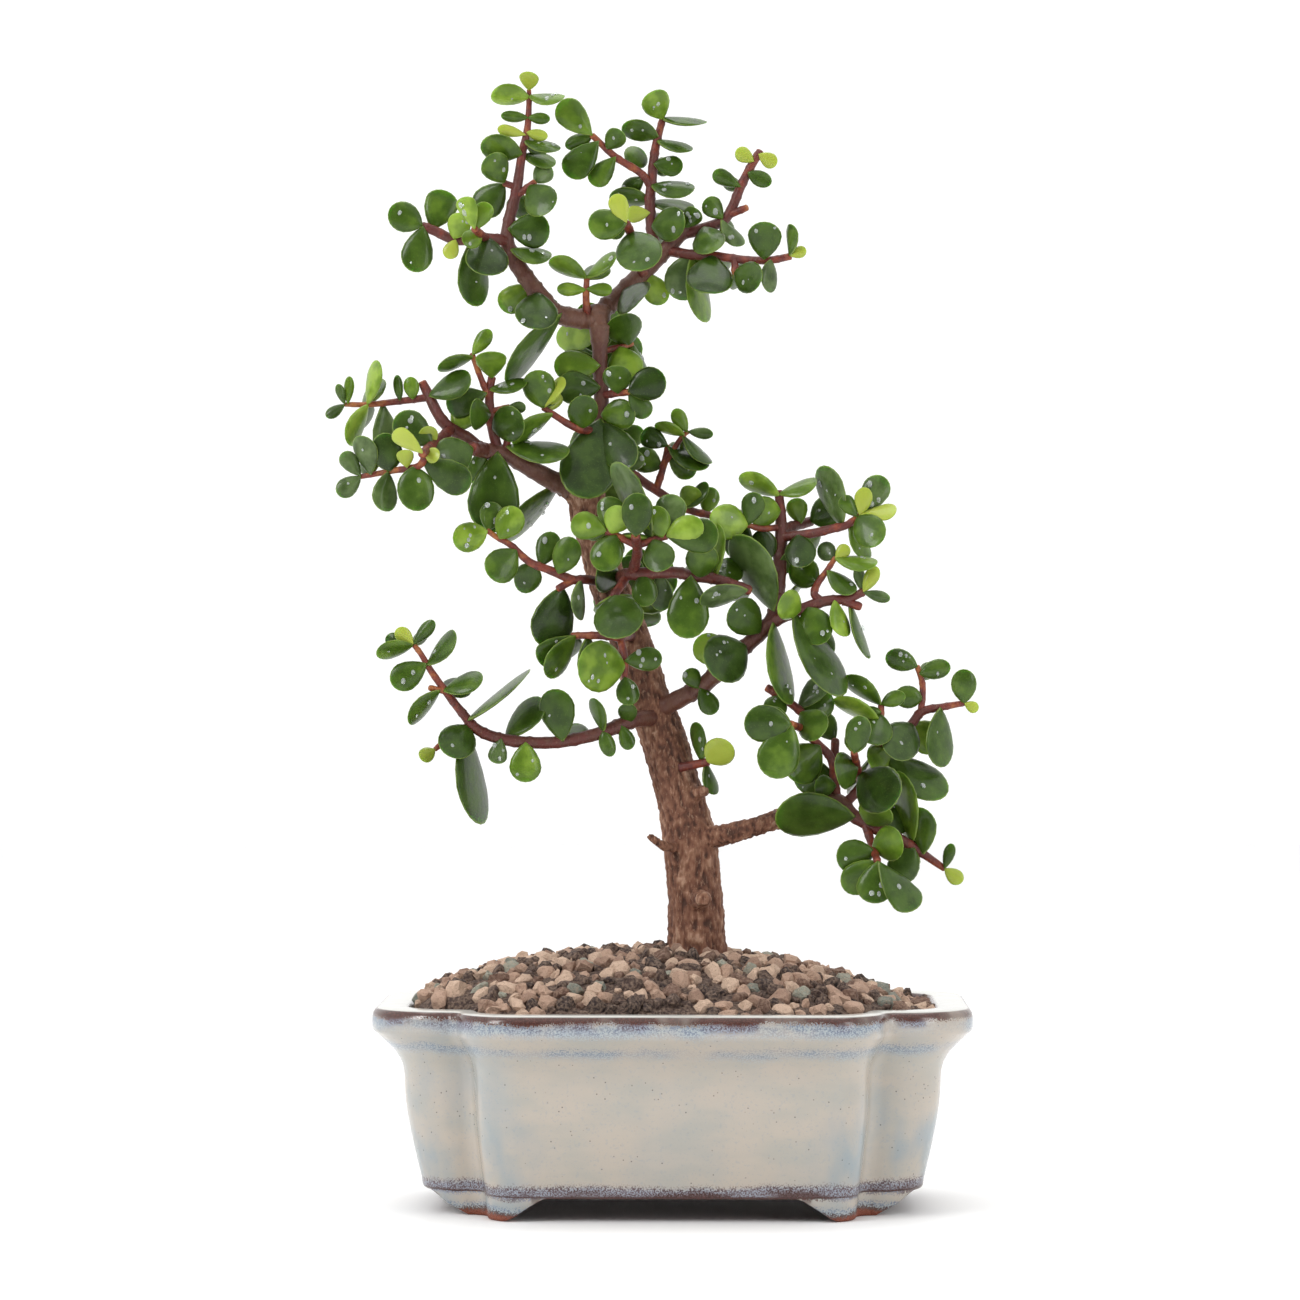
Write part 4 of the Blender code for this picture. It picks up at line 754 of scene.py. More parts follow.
@dataclass
class Pot:
    """Quatrefoil pot: two crossed rounded rectangles, a wide rim, four cloud feet and two drain holes."""

    long_half: float = 81.4
    long_depth: float = 45.0
    long_corner: float = 20.0
    short_half: float = 57.0
    short_depth: float = 62.5
    short_corner: float = 16.0
    notch: float = 3.5
    notch_growth: float = 0.15
    notch_inset: float = 0.5
    corner_ease: Pair = (0.5, 0.4)
    long_arc: Pair = (0, 78)
    notch_arc: Pair = (270, 184)
    short_arc: Pair = (12, 90)
    foot_arc: Pair = (20, 60)
    long_shares: tuple[float, ...] = (0.07, 0.22, 0.37)
    short_shares: tuple[float, ...] = (0.6, 0.36, 0.12)
    fine: int = 4
    sharp_from: float = 48.0
    foot_height: float = 6.2
    inner_heights: tuple[float, ...] = (46.0, 36.0, 26.0, 17.0)
    fillet: tuple[Pair, ...] = ((0.8, 0.4), (3.0, 0.0))
    floor_top: float = 13.5
    floor_inset: float = 16.5
    wall: tuple[Pair, ...] = ((12.7, 9.5), (10.4, 19.5), (8.6, 30.0), (8.0, 39.0), (6.2, 43.4),
                                             (2.8, 47.2), (0.0, 50.0))
    rim: tuple[Pair, ...] = ((-0.2, 51.0), (-0.25, 52.4), (-0.2, 53.6), (0.05, 54.7), (0.55, 55.5),
                                            (1.4, 56.0), (3.0, 56.15), (5.5, 56.2), (8.0, 56.1), (9.2, 55.8),
                                            (10.0, 55.2), (10.4, 54.2))
    base: tuple[Pair, ...] = ((14.8, 6.2), (14.0, 6.3), (13.4, 6.7), (13.05, 7.4))
    foot_sunk: float = 1.8
    foot_steps: int = 8
    foot_flat: float = 10.0
    foot_reach: float = 25.5
    foot_run: float = 10.0
    foot_curl: float = 0.8
    foot_wall: float = 7.0
    foot_inset: float = 13.4
    drain_x: float = 32.0
    drain_radius: float = 6.5
    finish: CreamGlaze = field(default_factory=CreamGlaze)

    def corner(self, inset: float, fine: int) -> list[Pair]:
        """Return the notch and the short side's corner that follows it, inset evenly.

        Args:
            inset: how far inside the rim, in millimetres.
            fine: how many times finer than the solid's outline.

        Returns:
            The points in the first quarter.
        """
        half, depth = self.short_half - self.notch_inset * inset, self.short_depth - inset
        radius = self.short_corner - self.corner_ease[1] * inset
        notch = self.notch + self.notch_growth * inset
        path = arc(half + notch, self.long_depth - inset + notch, notch, *self.notch_arc, 2 * fine)
        return path + arc(half - radius, depth - radius, radius, *self.short_arc, 3 * fine)

    def outline(self, inset: float, fine: int) -> list[Pair]:
        """Return the quatrefoil outline, inset evenly, counter-clockwise from +X."""
        half, depth = self.long_half - inset, self.long_depth - inset
        corner = self.long_corner - self.corner_ease[0] * inset
        quarter = [(half, depth * share) for share in self.long_shares]
        quarter += arc(half - corner, depth - corner, corner, *self.long_arc, 3 * fine)
        quarter += self.corner(inset, fine)
        quarter += [((self.short_half - inset) * share, self.short_depth - inset) for share in self.short_shares]
        left = [(-x, y) for x, y in reversed(quarter)]
        back = quarter + left
        return back + [(-x, -y) for x, y in back]

    def inner_inset(self, z: float) -> float:
        """Return the inset of the inner wall at a height."""
        top_inset, top = self.rim[-1]
        share = (z - self.floor_top) / (top - self.floor_top)
        return self.floor_inset + (top_inset - self.floor_inset) * share

    def foot_lift(self, distance: float) -> float:
        """Return the height of a foot's lower edge at a distance from its middle: flat, then a cyma."""
        run = min(max((abs(distance) - self.foot_flat) / (self.foot_reach - self.foot_flat), 0.0), 1.0)
        return (self.foot_height + 0.6) * (0.5 - 0.5 * math.cos(math.pi * run)) ** self.foot_curl

    def foot(self, side_x: int, side_y: int) -> Object:
        """Make one cloud foot that wraps a notch and the corners on both sides of it.

        Args:
            side_x: -1 or 1, the foot's side along the pot.
            side_y: -1 or 1, the foot's side across it.

        Returns:
            The foot, closed and rounded at its lower edge.
        """
        fine = self.fine
        top = self.foot_height + self.foot_sunk

        def path(inset: float) -> list[Pair]:
            corner = self.long_corner - self.corner_ease[0] * inset
            bend = arc(self.long_half - inset - corner, self.long_depth - inset - corner, corner, *self.foot_arc,
                       2 * fine)
            bend += self.corner(inset, fine)
            last_x, last_y = bend[-1]
            steps = self.foot_steps
            return [*bend, *((last_x - self.foot_run * i / steps, last_y) for i in range(1, steps + 1))]

        outer, inner = path(self.foot_inset), path(self.foot_inset + self.foot_wall)
        along = [0.0]
        for (ax, ay), (bx, by) in zip(outer, outer[1:]):
            along.append(along[-1] + math.hypot(bx - ax, by - ay))
        middle = (along[4 * fine + 1] + along[4 * fine + 2]) / 2
        sections = []
        for (ox, oy), (ix, iy), s in zip(outer, inner, along):
            low = min(self.foot_lift(s - middle), top - 0.9)
            deep = top - low
            inward = Vector((ix - ox, iy - oy)).normalized()
            width = math.hypot(ix - ox, iy - oy)
            ring = [(0.0, top), (0.03 * deep, low + 0.6 * deep), (0.12 * deep, low + 0.12 * deep),
                    (0.12 * deep + 0.35, low + 0.03 * deep), (0.12 * deep + 1.0, low), (width - 1.0, low),
                    (width, low + 0.1 * deep), (width, top)]
            sections.append([(side_x * (ox + inward.x * d), side_y * (oy + inward.y * d), z) for d, z in ring])
        if side_x * side_y < 0:
            sections = [list(reversed(section)) for section in sections]
        points, faces = ring_mesh(sections)
        return new_object("foot", points, faces, pot_place())

    def build(self) -> None:
        """Build the pot and dress it."""
        profile = [*self.base, *((float(i), float(z)) for i, z in through(self.wall, 5)), *self.rim]
        profile += [(self.inner_inset(z), z) for z in self.inner_heights]
        profile += [(self.floor_inset + more, self.floor_top + rise) for more, rise in self.fillet]
        rings = [[(x, y, z) for x, y in self.outline(inset, self.fine)] for inset, z in profile]
        pot = new_object("glazed_pot", *ring_mesh(rings), pot_place())
        feet = [self.foot(x, y) for x in (-1, 1) for y in (-1, 1)]
        holes = []
        for side in (-1, 1):
            circle = arc(side * self.drain_x, 0.0, self.drain_radius, 0, 360, 40)[:-1]
            shaft = [[(x, y, z) for x, y in circle] for z in (4.0, self.floor_top + 4.0)]
            holes.append(new_object("drain", *ring_mesh(shaft), pot_place()))
        for others, operation in ((feet, "UNION"), (holes, "DIFFERENCE")):
            for other in others:
                recalculate(other)
            group = bpy.data.collections.new("operands")
            for other in others:
                group.objects.link(other)
            modifier = pot.modifiers.new(operation, "BOOLEAN")
            modifier.operation, modifier.operand_type = operation, "COLLECTION"
            modifier.collection, modifier.solver = group, "EXACT"
            pot = take_modified_mesh(pot)
            remove(others)
        pot.data.shade_smooth()
        pot.data.set_sharp_from_angle(angle=math.radians(self.sharp_from))
        dress(pot, self.finish, self.finish.material(), "pot")


def recalculate(body: Object) -> None:
    """Turn a closed body's faces outwards."""
    shell = bmesh.new()
    shell.from_mesh(body.data)
    bmesh.ops.recalc_face_normals(shell, faces=shell.faces)
    shell.to_mesh(body.data)
    shell.free()


@dataclass
class DrainScreens:
    """The two moulded mesh squares over the drain holes, kept as their solids."""

    nodes: tuple[str, ...] = ("drain_screen_left", "drain_screen_right")
    finish: ScreenPlastic = field(default_factory=ScreenPlastic)

    def build(self) -> None:
        """Give both solids the moulded plastic."""
        made = self.finish.material()
        for name in self.nodes:
            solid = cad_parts[name]
            solid.data.materials.clear()
            solid.data.materials.append(made)
            log.info("%s: solid with its own material", name)


# Soil

@dataclass
class SoilBed:
    """Heaped bed of sieved mineral grains round the trunk."""

    pot: Pot
    edge: float = 55.0
    rise: float = 15.5
    heap_x: float = -6.0
    heap_half: float = 72.0
    heap_depth: float = 53.0
    heap_power: float = 2.2
    trunk_x: float = 6.4
    gap: float = 0.3
    rings: int = 26
    sunk: float = 1.2
    shoulder_drop: float = 1.6
    pebble_cuts: int = 8
    cut_at: float = 0.6
    ragged: float = 0.26
    grain_apart: float = 3.5
    grain_small: float = 1.7
    grain_large: float = 4.2
    finish: MineralGrain = field(default_factory=MineralGrain)

    def height(self, x: float, y: float) -> float:
        """Return the height of the heap without its grains."""
        across = min(abs(x - self.heap_x) / self.heap_half, 1.0) ** self.heap_power
        along = min(abs(y) / self.heap_depth, 1.0) ** self.heap_power
        return self.edge + self.rise * (1 - across) * (1 - along)

    def bed(self) -> Object:
        """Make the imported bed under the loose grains, down to the pot's floor.

        Returns:
            The bed.
        """
        base, shoulder = self.pot.floor_top + self.gap, self.edge - self.shoulder_drop
        lowest = self.pot.outline(self.pot.inner_inset(base) + self.gap, 2)
        outer = self.pot.outline(self.pot.inner_inset(shoulder) + self.gap, 2)
        rings = [[(x, y, base) for x, y in lowest], [(x, y, shoulder) for x, y in outer]]
        for k in range(1, self.rings):
            scale = 1 - k / self.rings
            ring = []
            for edge_x, edge_y in outer:
                x = self.trunk_x + (edge_x - self.trunk_x) * scale
                y = edge_y * scale
                rough = noise.noise(Vector((x, y, 0.0)) * 0.35) * 0.9
                ring.append((x, y, self.height(x, y) - self.sunk + rough))
            rings.append(ring)
        return new_object("soil_bed", *ring_mesh(rings), pot_place())

    def pebbles(self) -> Collection:
        """Make a few broken grains of unit size, each with a few dozen faces.

        Returns:
            The collection that holds them.
        """
        group = bpy.data.collections.new("grain_shapes")
        chance = random.Random(SEED)
        for k in range(7):
            shell = bmesh.new()
            bmesh.ops.create_icosphere(shell, subdivisions=2, radius=1.0)
            shift = Vector((chance.uniform(0, 50), chance.uniform(0, 50), chance.uniform(0, 50)))
            flat = Vector((chance.uniform(0.8, 1.1), chance.uniform(0.75, 1.05), chance.uniform(0.65, 0.95)))
            cuts = [Vector((chance.gauss(0, 1), chance.gauss(0, 1), chance.gauss(0, 1))).normalized()
                    for _ in range(self.pebble_cuts)]
            for corner in shell.verts:
                point = corner.co.copy()
                for cut in cuts:
                    proud = point.dot(cut) - self.cut_at
                    if proud > 0:
                        point -= cut * proud
                point += point.normalized() * noise.noise(point * 2.6 + shift) * self.ragged
                corner.co = Vector((point.x * flat.x, point.y * flat.y, point.z * flat.z))
            mesh = bpy.data.meshes.new("grain")
            shell.to_mesh(mesh)
            shell.free()
            group.objects.link(bpy.data.objects.new(f"grain_shape_{k}", mesh))
        return group

    def scatter(self) -> NodeTree:
        """Make the node group that lays loose grains on a bed.

        Returns:
            The group.
        """
        tree, given = new_group("loose_grains", (
            ("Grain Shapes", "NodeSocketCollection"), ("Apart", "NodeSocketFloat"), ("Smallest", "NodeSocketFloat"),
            ("Largest", "NodeSocketFloat"), ("Seed", "NodeSocketInt"), ("Finish", "NodeSocketMaterial")))
        normal = add_node(tree, "GeometryNodeInputNormal")
        up = add_node(tree, "ShaderNodeSeparateXYZ", {0: normal}).outputs[2]
        top = add_node(tree, "FunctionNodeCompare", {0: up, 1: 0.4}, operation="GREATER_THAN")
        spread = add_node(tree, "GeometryNodeDistributePointsOnFaces", {
            "Mesh": given, "Selection": top, "Distance Min": given.outputs["Apart"],
            "Density Max": 400000.0, "Seed": given.outputs["Seed"]}, distribute_method="POISSON")
        kind = add_node(tree, "FunctionNodeRandomValue", {2: 0.0, 3: 1.0, "Seed": 3}, data_type="FLOAT").outputs[1]
        marked = add_node(tree, "GeometryNodeStoreNamedAttribute", {
            "Geometry": spread.outputs["Points"], "Name": "kind", "Value": kind}, data_type="FLOAT", domain="POINT")
        shapes = add_node(tree, "GeometryNodeCollectionInfo", {
            "Collection": given.outputs["Grain Shapes"], "Separate Children": True, "Reset Children": True})
        pick = add_node(tree, "FunctionNodeRandomValue", {4: 0, 5: 6, "Seed": 5}, data_type="INT").outputs[2]
        turn = add_node(tree, "FunctionNodeRandomValue", {0: (0.0, 0.0, 0.0), 1: (6.28, 6.28, 6.28), "Seed": 7},
                        data_type="FLOAT_VECTOR")
        size = add_node(tree, "FunctionNodeRandomValue", {
            2: given.outputs["Smallest"], 3: given.outputs["Largest"], "Seed": 9}, data_type="FLOAT").outputs[1]
        laid = add_node(tree, "GeometryNodeInstanceOnPoints", {
            "Points": marked, "Instance": shapes, "Pick Instance": True,
            "Instance Index": pick, "Rotation": turn, "Scale": size})
        close_group(tree, laid, given.outputs["Finish"], soft=False)
        return tree

    def build(self) -> None:
        """Build the bed and its loose grains, and dress them."""
        made = self.finish.material()
        bed = self.bed()
        source = add_object("loose_grains", bed.data.copy())
        grains = grow(source, self.scatter(), {
            "Grain Shapes": self.pebbles(), "Apart": self.grain_apart * MM, "Smallest": self.grain_small * MM,
            "Largest": self.grain_large * MM, "Seed": SEED, "Finish": made})
        chance = np.random.default_rng(SEED)
        # The bed under the loose grains takes only the dark kinds: partly dark lava and humus, partly painted shade in
        # the gaps between the grains.
        set_attribute(bed.data, "kind", "FLOAT", 0.65 + 0.2 * chance.random(len(bed.data.vertices)))
        dress(bed, self.finish, made, "soil")
        dress(grains, self.finish, made, "soil")


# Stems

@dataclass
class Stem:
    """A grown stem: its knots in the plant's millimetres, their radii and how many sides its solid has."""

    points: list[Vector]
    radii: list[float]
    sides: int = 5


def stem(*readings: tuple[float, float, float, float], sides: int = 5) -> Stem:
    """Make a stem from its readings, each (x, z, depth, diameter), with as many sides as its solid has."""
    points = [from_front(x, z, depth * DEPTH_SPREAD) for x, z, depth, _ in readings]
    return Stem(points, [diameter / 2 for *_, diameter in readings], sides)


@dataclass
class Spray:
    """A leafy branch: its stems and its leaves, as read from the front.

    An oval leaf is (x, z, width, height) and a blade leaf is (root x, root z,
    tip x, tip z, width), and either may end in its marks. The mark b is for a
    leaf that grows away from the viewer, and the others are those of Look. A
    spray at the back has so many pairs of leaves instead, each turned a quarter
    from the last.
    """

    name: str
    stems: tuple[Stem, ...]
    ovals: tuple[tuple, ...] = ()
    blades: tuple[tuple, ...] = ()
    pairs: int = 0


def coarse_tube(made: Stem) -> tuple[list, list]:
    """Skin a stem as its solid is, for what the leaves keep clear of."""
    points, radii = made.points, made.radii
    forward = [(b - a).normalized() for a, b in zip(points, points[1:])]
    headings = [forward[0]] + [(a + b).normalized() for a, b in zip(forward, forward[1:])] + [forward[-1]]
    side = headings[0].orthogonal().normalized()
    rings = []
    for point, heading, radius in zip(points, headings, radii):
        side = (side - heading * side.dot(heading)).normalized()
        other = heading.cross(side)
        angles = [2 * math.pi * i / made.sides for i in range(made.sides)]
        rings.append([point + radius * (side * math.cos(a) + other * math.sin(a)) for a in angles])
    return ring_mesh(rings)


def smooth_run(made: Stem, step: float) -> list[np.ndarray]:
    """Return a stem's smooth centre line with its radius, about step millimetres apart.

    Args:
        made: the stem.
        step: the distance between points.

    Returns:
        Arrays of x, y, z and radius.
    """
    knots = [(*p, r) for p, r in zip(made.points, made.radii)]
    lengths = [(b - a).length for a, b in zip(made.points, made.points[1:])]
    steps = max(2, round(sum(lengths) / len(lengths) / step))
    return through(knots, steps) if len(knots) > 2 else [
        np.array(knots[0]) + (np.array(knots[1]) - np.array(knots[0])) * i / steps for i in range(steps + 1)]


# Leaves

@dataclass
class Leaf:
    """One blade: where it is rooted, how it lies and how large it is, in millimetres."""

    root: Vector
    axis: Vector
    across: Vector
    length: float
    width: float
    belly: float
    thick: float
    look: Look = Look.PLAIN
    collar: float = 0.8

    def tilted(self, degrees: float, shrink: float) -> "Leaf":
        """Return a copy swung about its root, towards the viewer where degrees are positive.

        It is made longer or shorter, so that it is seen as long as before.

        Args:
            degrees: how far it swings.
            shrink: its new size for a size of 1.

        Returns:
            The copy.
        """
        axis = Matrix.Rotation(math.radians(degrees), 3, self.across) @ self.axis
        stretch = math.hypot(self.axis.x, self.axis.z) / max(math.hypot(axis.x, axis.z), 0.01)
        return replace(self, axis=axis, length=self.length * shrink * min(stretch, MOST_STRETCH),
                       width=self.width * shrink)

    def steps(self) -> int:
        """Return how finely its solid is made: a long leaf has one ring more."""
        return 4 if self.length > BIG_LEAF else 3

    def coarse(self, steps: int, more: float = 0.0, start: int = 0) -> tuple[list, list]:
        """Return the blade as its solid is, to test what it touches.

        Args:
            steps: how many steps each side of the rim has.
            more: how much larger than the blade, in millimetres.
            start: the first step of the rim that counts.

        Returns:
            The points and the faces.
        """
        normal = self.axis.cross(self.across)
        half = self.width / 2 + more

        def place(along: float, out: float, lift: float) -> Vector:
            bow = LEAF_BOW * self.length * math.sin(math.pi * along)
            cup = LEAF_CUP * abs(out) * half
            return (self.root + self.axis * (along * self.length) + self.across * (out * half)
                    + normal * (lift + bow + cup))

        sides = []
        for sign in (-1, 1):
            rim = []
            for i in range(max(start, 1), steps + 1):
                along, out = leaf_outline(self.belly, math.pi * i / (steps + 1))
                rim.append(place(along, sign * max(out, 0.2), 0.0))
            sides.append(rim)
        tip = place(1.0 + more / self.length, 0.0, 0.0)
        head = [] if start else [self.root - self.axis * ROOT_SINK]
        rim = head + sides[1] + [tip] + sides[0][::-1]
        count = len(rim)
        lift = self.thick / 2 + more
        ridge = [place(self.belly, 0.0, lift), place(self.belly, 0.0, -lift)]
        faces = [(i, (i + 1) % count, count) for i in range(count)]
        faces += [((i + 1) % count, i, count + 1) for i in range(count)]
        return rim + ridge, faces


def leaf_outline(belly: float, angle: float) -> tuple[float, float]:
    """Return how far along and how far out a rim lies.

    Args:
        belly: where the blade is widest, from root (0) to tip (1).
        angle: from 0 at the root to pi at the tip.

    Returns:
        The share of the length and the share of half the width.
    """
    if angle <= math.pi / 2:
        fullness = BASE_FULLNESS + MORE_FULLNESS * max(belly - 0.5, 0.0)
        return belly * (1 - math.cos(angle)), math.sin(angle) ** fullness
    return belly - (1 - belly) * math.cos(angle), math.sin(angle)


def spans(stems: Sequence[Stem]) -> Iterable[tuple[Vector, Vector, float, float]]:
    """Give the two ends and the two radii of every span of some stems."""
    for made in stems:
        yield from zip(made.points, made.points[1:], made.radii, made.radii[1:])


def nearest_root(stems: Sequence[Stem], x: float, z: float) -> tuple[Vector, float]:
    """Return the stem point whose front view lies nearest to (x, z), and the stem's radius there."""
    best = None
    for a, b, thick, thin in spans(stems):
        flat_a, flat_b = Vector((a.x, a.z)), Vector((b.x, b.z))
        span = flat_b - flat_a
        share = (Vector((x, z)) - flat_a).dot(span) / max(span.length_squared, 1e-6)
        share = min(max(share, 0.0), 1.0)
        gap = (flat_a + span * share - Vector((x, z))).length
        if best is None or gap < best[0]:
            best = (gap, a.lerp(b, share), thick + (thin - thick) * share)
    return best[1], best[2]


def look_of(marks: str) -> Look:
    """Return the look that a leaf's marks name."""
    for look in (Look.YOUNG, Look.LIGHT, Look.DARK, Look.FROSTED):
        if look.value in marks:
            return look
    return Look.PLAIN


def lay_leaf(root: Vector, collar: float, tip_x: float, tip_z: float, width: float, belly: float,
             marks: str) -> Leaf:
    """Lay a leaf from its root to the tip seen from the front; its slope in depth follows its size.

    Args:
        root: where it grows from.
        collar: the stem's radius there.
        tip_x: the tip's reading across.
        tip_z: the tip's reading up.
        width: the width seen.
        belly: where it is widest, from 0 to 1.
        marks: its marks.

    Returns:
        The leaf.
    """
    behind = "b" in marks
    flat = Vector((tip_x - root.x, 0.0, tip_z - root.z))
    seen = max(flat.length, SHORTEST_SEEN)
    rolled = width < ROLLED_BELOW * seen
    real_width = ROLLED_WIDTH * seen if rolled and seen > ROLLED_FROM else width
    length = max(seen, FULL_SLOPE * real_width)
    depth = math.sqrt(max(length * length - seen * seen, 0.0)) + LEAST_SLOPE * length
    reach = Vector((flat.x, depth if behind else -depth, flat.z))
    axis = reach.normalized()
    sight = Vector((0.0, -1.0, 0.0))
    across = axis.cross(sight).normalized()
    if rolled and seen > ROLLED_FROM:
        roll = math.acos(min(width / real_width, 1.0))
        across = Matrix.Rotation(roll if across.x * flat.z <= across.z * flat.x else -roll, 3, axis) @ across
    thick = YOUNG_THICK if "y" in marks else LEAF_THICK
    return Leaf(root, axis, across, reach.length, real_width, belly, thick, look_of(marks), collar)


def root_over_stem(stems: Sequence[Stem], x: float, z: float, reach: float) -> tuple[Vector, float]:
    """Find where a leaf that hides its own stem grows from; it hangs, so the root is rather above it.

    Args:
        stems: the stems that it may grow from.
        x: the leaf's middle across.
        z: the leaf's middle up.
        reach: how far the root should be from there.

    Returns:
        The stem point and the stem's radius there.
    """
    best = None
    for a, b, thick, thin in spans(stems):
        steps = max(round((b - a).length), 1)
        for i in range(steps + 1):
            point = a.lerp(b, i / steps)
            away = Vector((x - point.x, z - point.z))
            miss = abs(away.length - reach) + OVER_UP * max(away.y, 0.0)
            if best is None or miss < best[0]:
                best = (miss, point, thick + (thin - thick) * i / steps)
    return best[1], best[2]


def oval_leaf(stems: Sequence[Stem], x: float, z: float, width: float, height: float, marks: str = "") -> Leaf:
    """Lay an oval leaf, read as a centre and a size, from the stem nearest to it."""
    root, collar = nearest_root(stems, x, z)
    mean_reach = (width + height) / 4
    if math.hypot(x - root.x, z - root.z) < OVER_STEM * mean_reach:
        root, collar = root_over_stem(stems, x, z, OVER_ROOT * mean_reach)
    away = Vector((x - root.x, z - root.z))
    if away.length < 0.5:
        away = Vector((0.0, -0.5))
    heading = away.normalized()
    long_reach = 0.5 / math.hypot(heading.x / width, heading.y / height)
    cross_reach = 0.5 / math.hypot(heading.y / width, heading.x / height)
    middle = max(away.length, 0.5 * long_reach)
    tip = Vector((root.x, root.z)) + heading * (middle + long_reach)
    belly = min(max(middle / (middle + long_reach), NEAREST_BELLY), FARTHEST_BELLY)
    return lay_leaf(root, collar, tip.x, tip.y, 2 * cross_reach, belly, marks)


def blade_leaf(stems: Sequence[Stem], root_x: float, root_z: float, tip_x: float, tip_z: float, width: float,
               marks: str = "") -> Leaf:
    """Lay a long leaf, read as its two ends and its width."""
    root, collar = nearest_root(stems, root_x, root_z)
    return lay_leaf(root, collar, tip_x, tip_z, width, BLADE_BELLY, marks)


def opposite_leaf(leaf: Leaf) -> Leaf:
    """Return the leaf that faces another across the stem, on the side away from the viewer."""
    axis = Vector((leaf.axis.x * OPPOSITE_FLAT, abs(leaf.axis.y) + OPPOSITE_BACK, leaf.axis.z * OPPOSITE_FLAT))
    axis.normalize()
    across = (leaf.across - axis * leaf.across.dot(axis)).normalized()
    return Leaf(leaf.root, axis, across, leaf.length * OPPOSITE_SIZE, leaf.width * OPPOSITE_SIZE, OPPOSITE_BELLY,
                leaf.thick)


def paired_leaves(made: Stem, pairs: int) -> list[Leaf]:
    """Lay opposite pairs of leaves up a stem, each pair turned a quarter from the last."""
    leaves = []
    for k in range(pairs):
        share = PAIR_FROM + 0.7 * k / max(pairs - 1, 1)
        spot = share * (len(made.points) - 1)
        lower = min(int(spot), len(made.points) - 2)
        root = made.points[lower].lerp(made.points[lower + 1], spot - lower)
        heading = (made.points[lower + 1] - made.points[lower]).normalized()
        side = heading.orthogonal().normalized()
        side = Matrix.Rotation(math.radians(PAIR_START + PAIR_TURN * k), 3, heading) @ side
        length = PAIR_LENGTH * (1 - PAIR_SHORTER * share)
        for sign in (-1, 1):
            axis = (side * sign + heading * PAIR_UP).normalized()
            across = axis.cross(heading).normalized()
            leaves.append(Leaf(root, axis, across, length, PAIR_WIDTH * length, PAIR_BELLY,
                               LEAF_THICK))
    return leaves


@dataclass
class Obstacles:
    """What a new leaf must keep clear of: each body's owner, tree of faces and box."""

    entries: list[tuple] = field(default_factory=list)

    def add(self, owner: tuple[str, str], points: Sequence[Vector], faces: Sequence) -> None:
        """Add a body."""
        low, high = self.box(points)
        self.entries.append((owner, BVHTree.FromPolygons([tuple(p) for p in points], faces), low, high))

    @staticmethod
    def box(points: Sequence[Vector]) -> tuple[Vector, Vector]:
        """Return the lowest and highest corner of some points."""
        return (Vector([min(p[i] for p in points) for i in range(3)]),
                Vector([max(p[i] for p in points) for i in range(3)]))

    def hits(self, points: Sequence[Vector], faces: Sequence, wanted: Callable[[tuple[str, str]], bool]) -> bool:
        """Tell whether a body crosses any entry whose owner is wanted."""
        low, high = self.box(points)
        tree = None
        for owner, other, other_low, other_high in self.entries:
            if not wanted(owner):
                continue
            if any(low[i] > other_high[i] or high[i] < other_low[i] for i in range(3)):
                continue
            if tree is None:
                tree = BVHTree.FromPolygons([tuple(p) for p in points], faces)
            if tree.overlap(other):
                return True
        return False


def settle(leaf: Leaf, name: str, obstacles: Obstacles) -> Leaf | None:
    """Bend a leaf clear of other sprays, and of its own spray's leaves where it can be.

    Args:
        leaf: the leaf as read.
        name: its spray.
        obstacles: what it keeps clear of.

    Returns:
        The leaf as it lies, or None where it has no room.
    """
    fallback = None
    for shrink in SHRINKS:
        for tilt in TILTS:
            tried = leaf.tilted(tilt, shrink)
            points, faces = tried.coarse(tried.steps(), more=CLEARANCE)
            if obstacles.hits(points, faces, lambda owner: owner[0] != name):
                continue
            points, faces = tried.coarse(3, start=2)
            if not obstacles.hits(points, faces, lambda owner: owner[0] == name):
                return tried
            if fallback is None and shrink > SHRINKS[-1]:
                fallback = tried
    return fallback


# The trunk and its limbs, then the sprays they carry, each stem as (x, z, depth, diameter)

TRUNK_STEMS = (
    stem((6.6, 40, 2, 15), (6.4, 56, 1, 19), (6.4, 63, 1, 18), (6.4, 70, 1, 16.8), (6.2, 82, 1, 15.3),
         (5.6, 90, 1, 14.8), (4.5, 100, 1, 15), (2.5, 110, 1, 13.2), (0.3, 118, 1, 13), (-3.3, 130, 1, 12.6),
         (-7.2, 140, 1, 12), (-10, 150, 1, 11.6), (-13.5, 160, 1, 11), (-17.5, 170, 1, 10.6), (-20.5, 180, 1, 10),
         (-23.5, 190, 1, 10), (-24, 197, 1, 10.4), (-23.4, 200.5, 1, 8.6), sides=10),
    stem((-23.8, 195, 1, 8), (-22.6, 203.5, 1, 6.6), sides=7),
    stem((-23, 195, 1, 8), (-31, 198.8, 0, 5.9), sides=7),
    stem((4.5, 100.5, 1, 6.4), (13, 101.5, -2, 5.8), (22, 104, -3, 5.4), (29.5, 106.4, -3, 5.3), sides=7),
    stem((1, 98, -2, 3), (-3, 99, -5, 2.4), (-6.5, 101.5, -6, 2)),
    stem((7, 84, -3, 6), (8.6, 84, -8.2, 3.6)),
    stem((6, 113, -2, 4), (9, 114.5, -4, 3)),
)
ROOTS = ((-158, 27), (-100, 21), (-35, 25), (20, 22), (75, 24), (140, 22))
ROOT_TOP, ROOT_END, ROOT_DIAMETER = 68.5, 48.0, 8.0


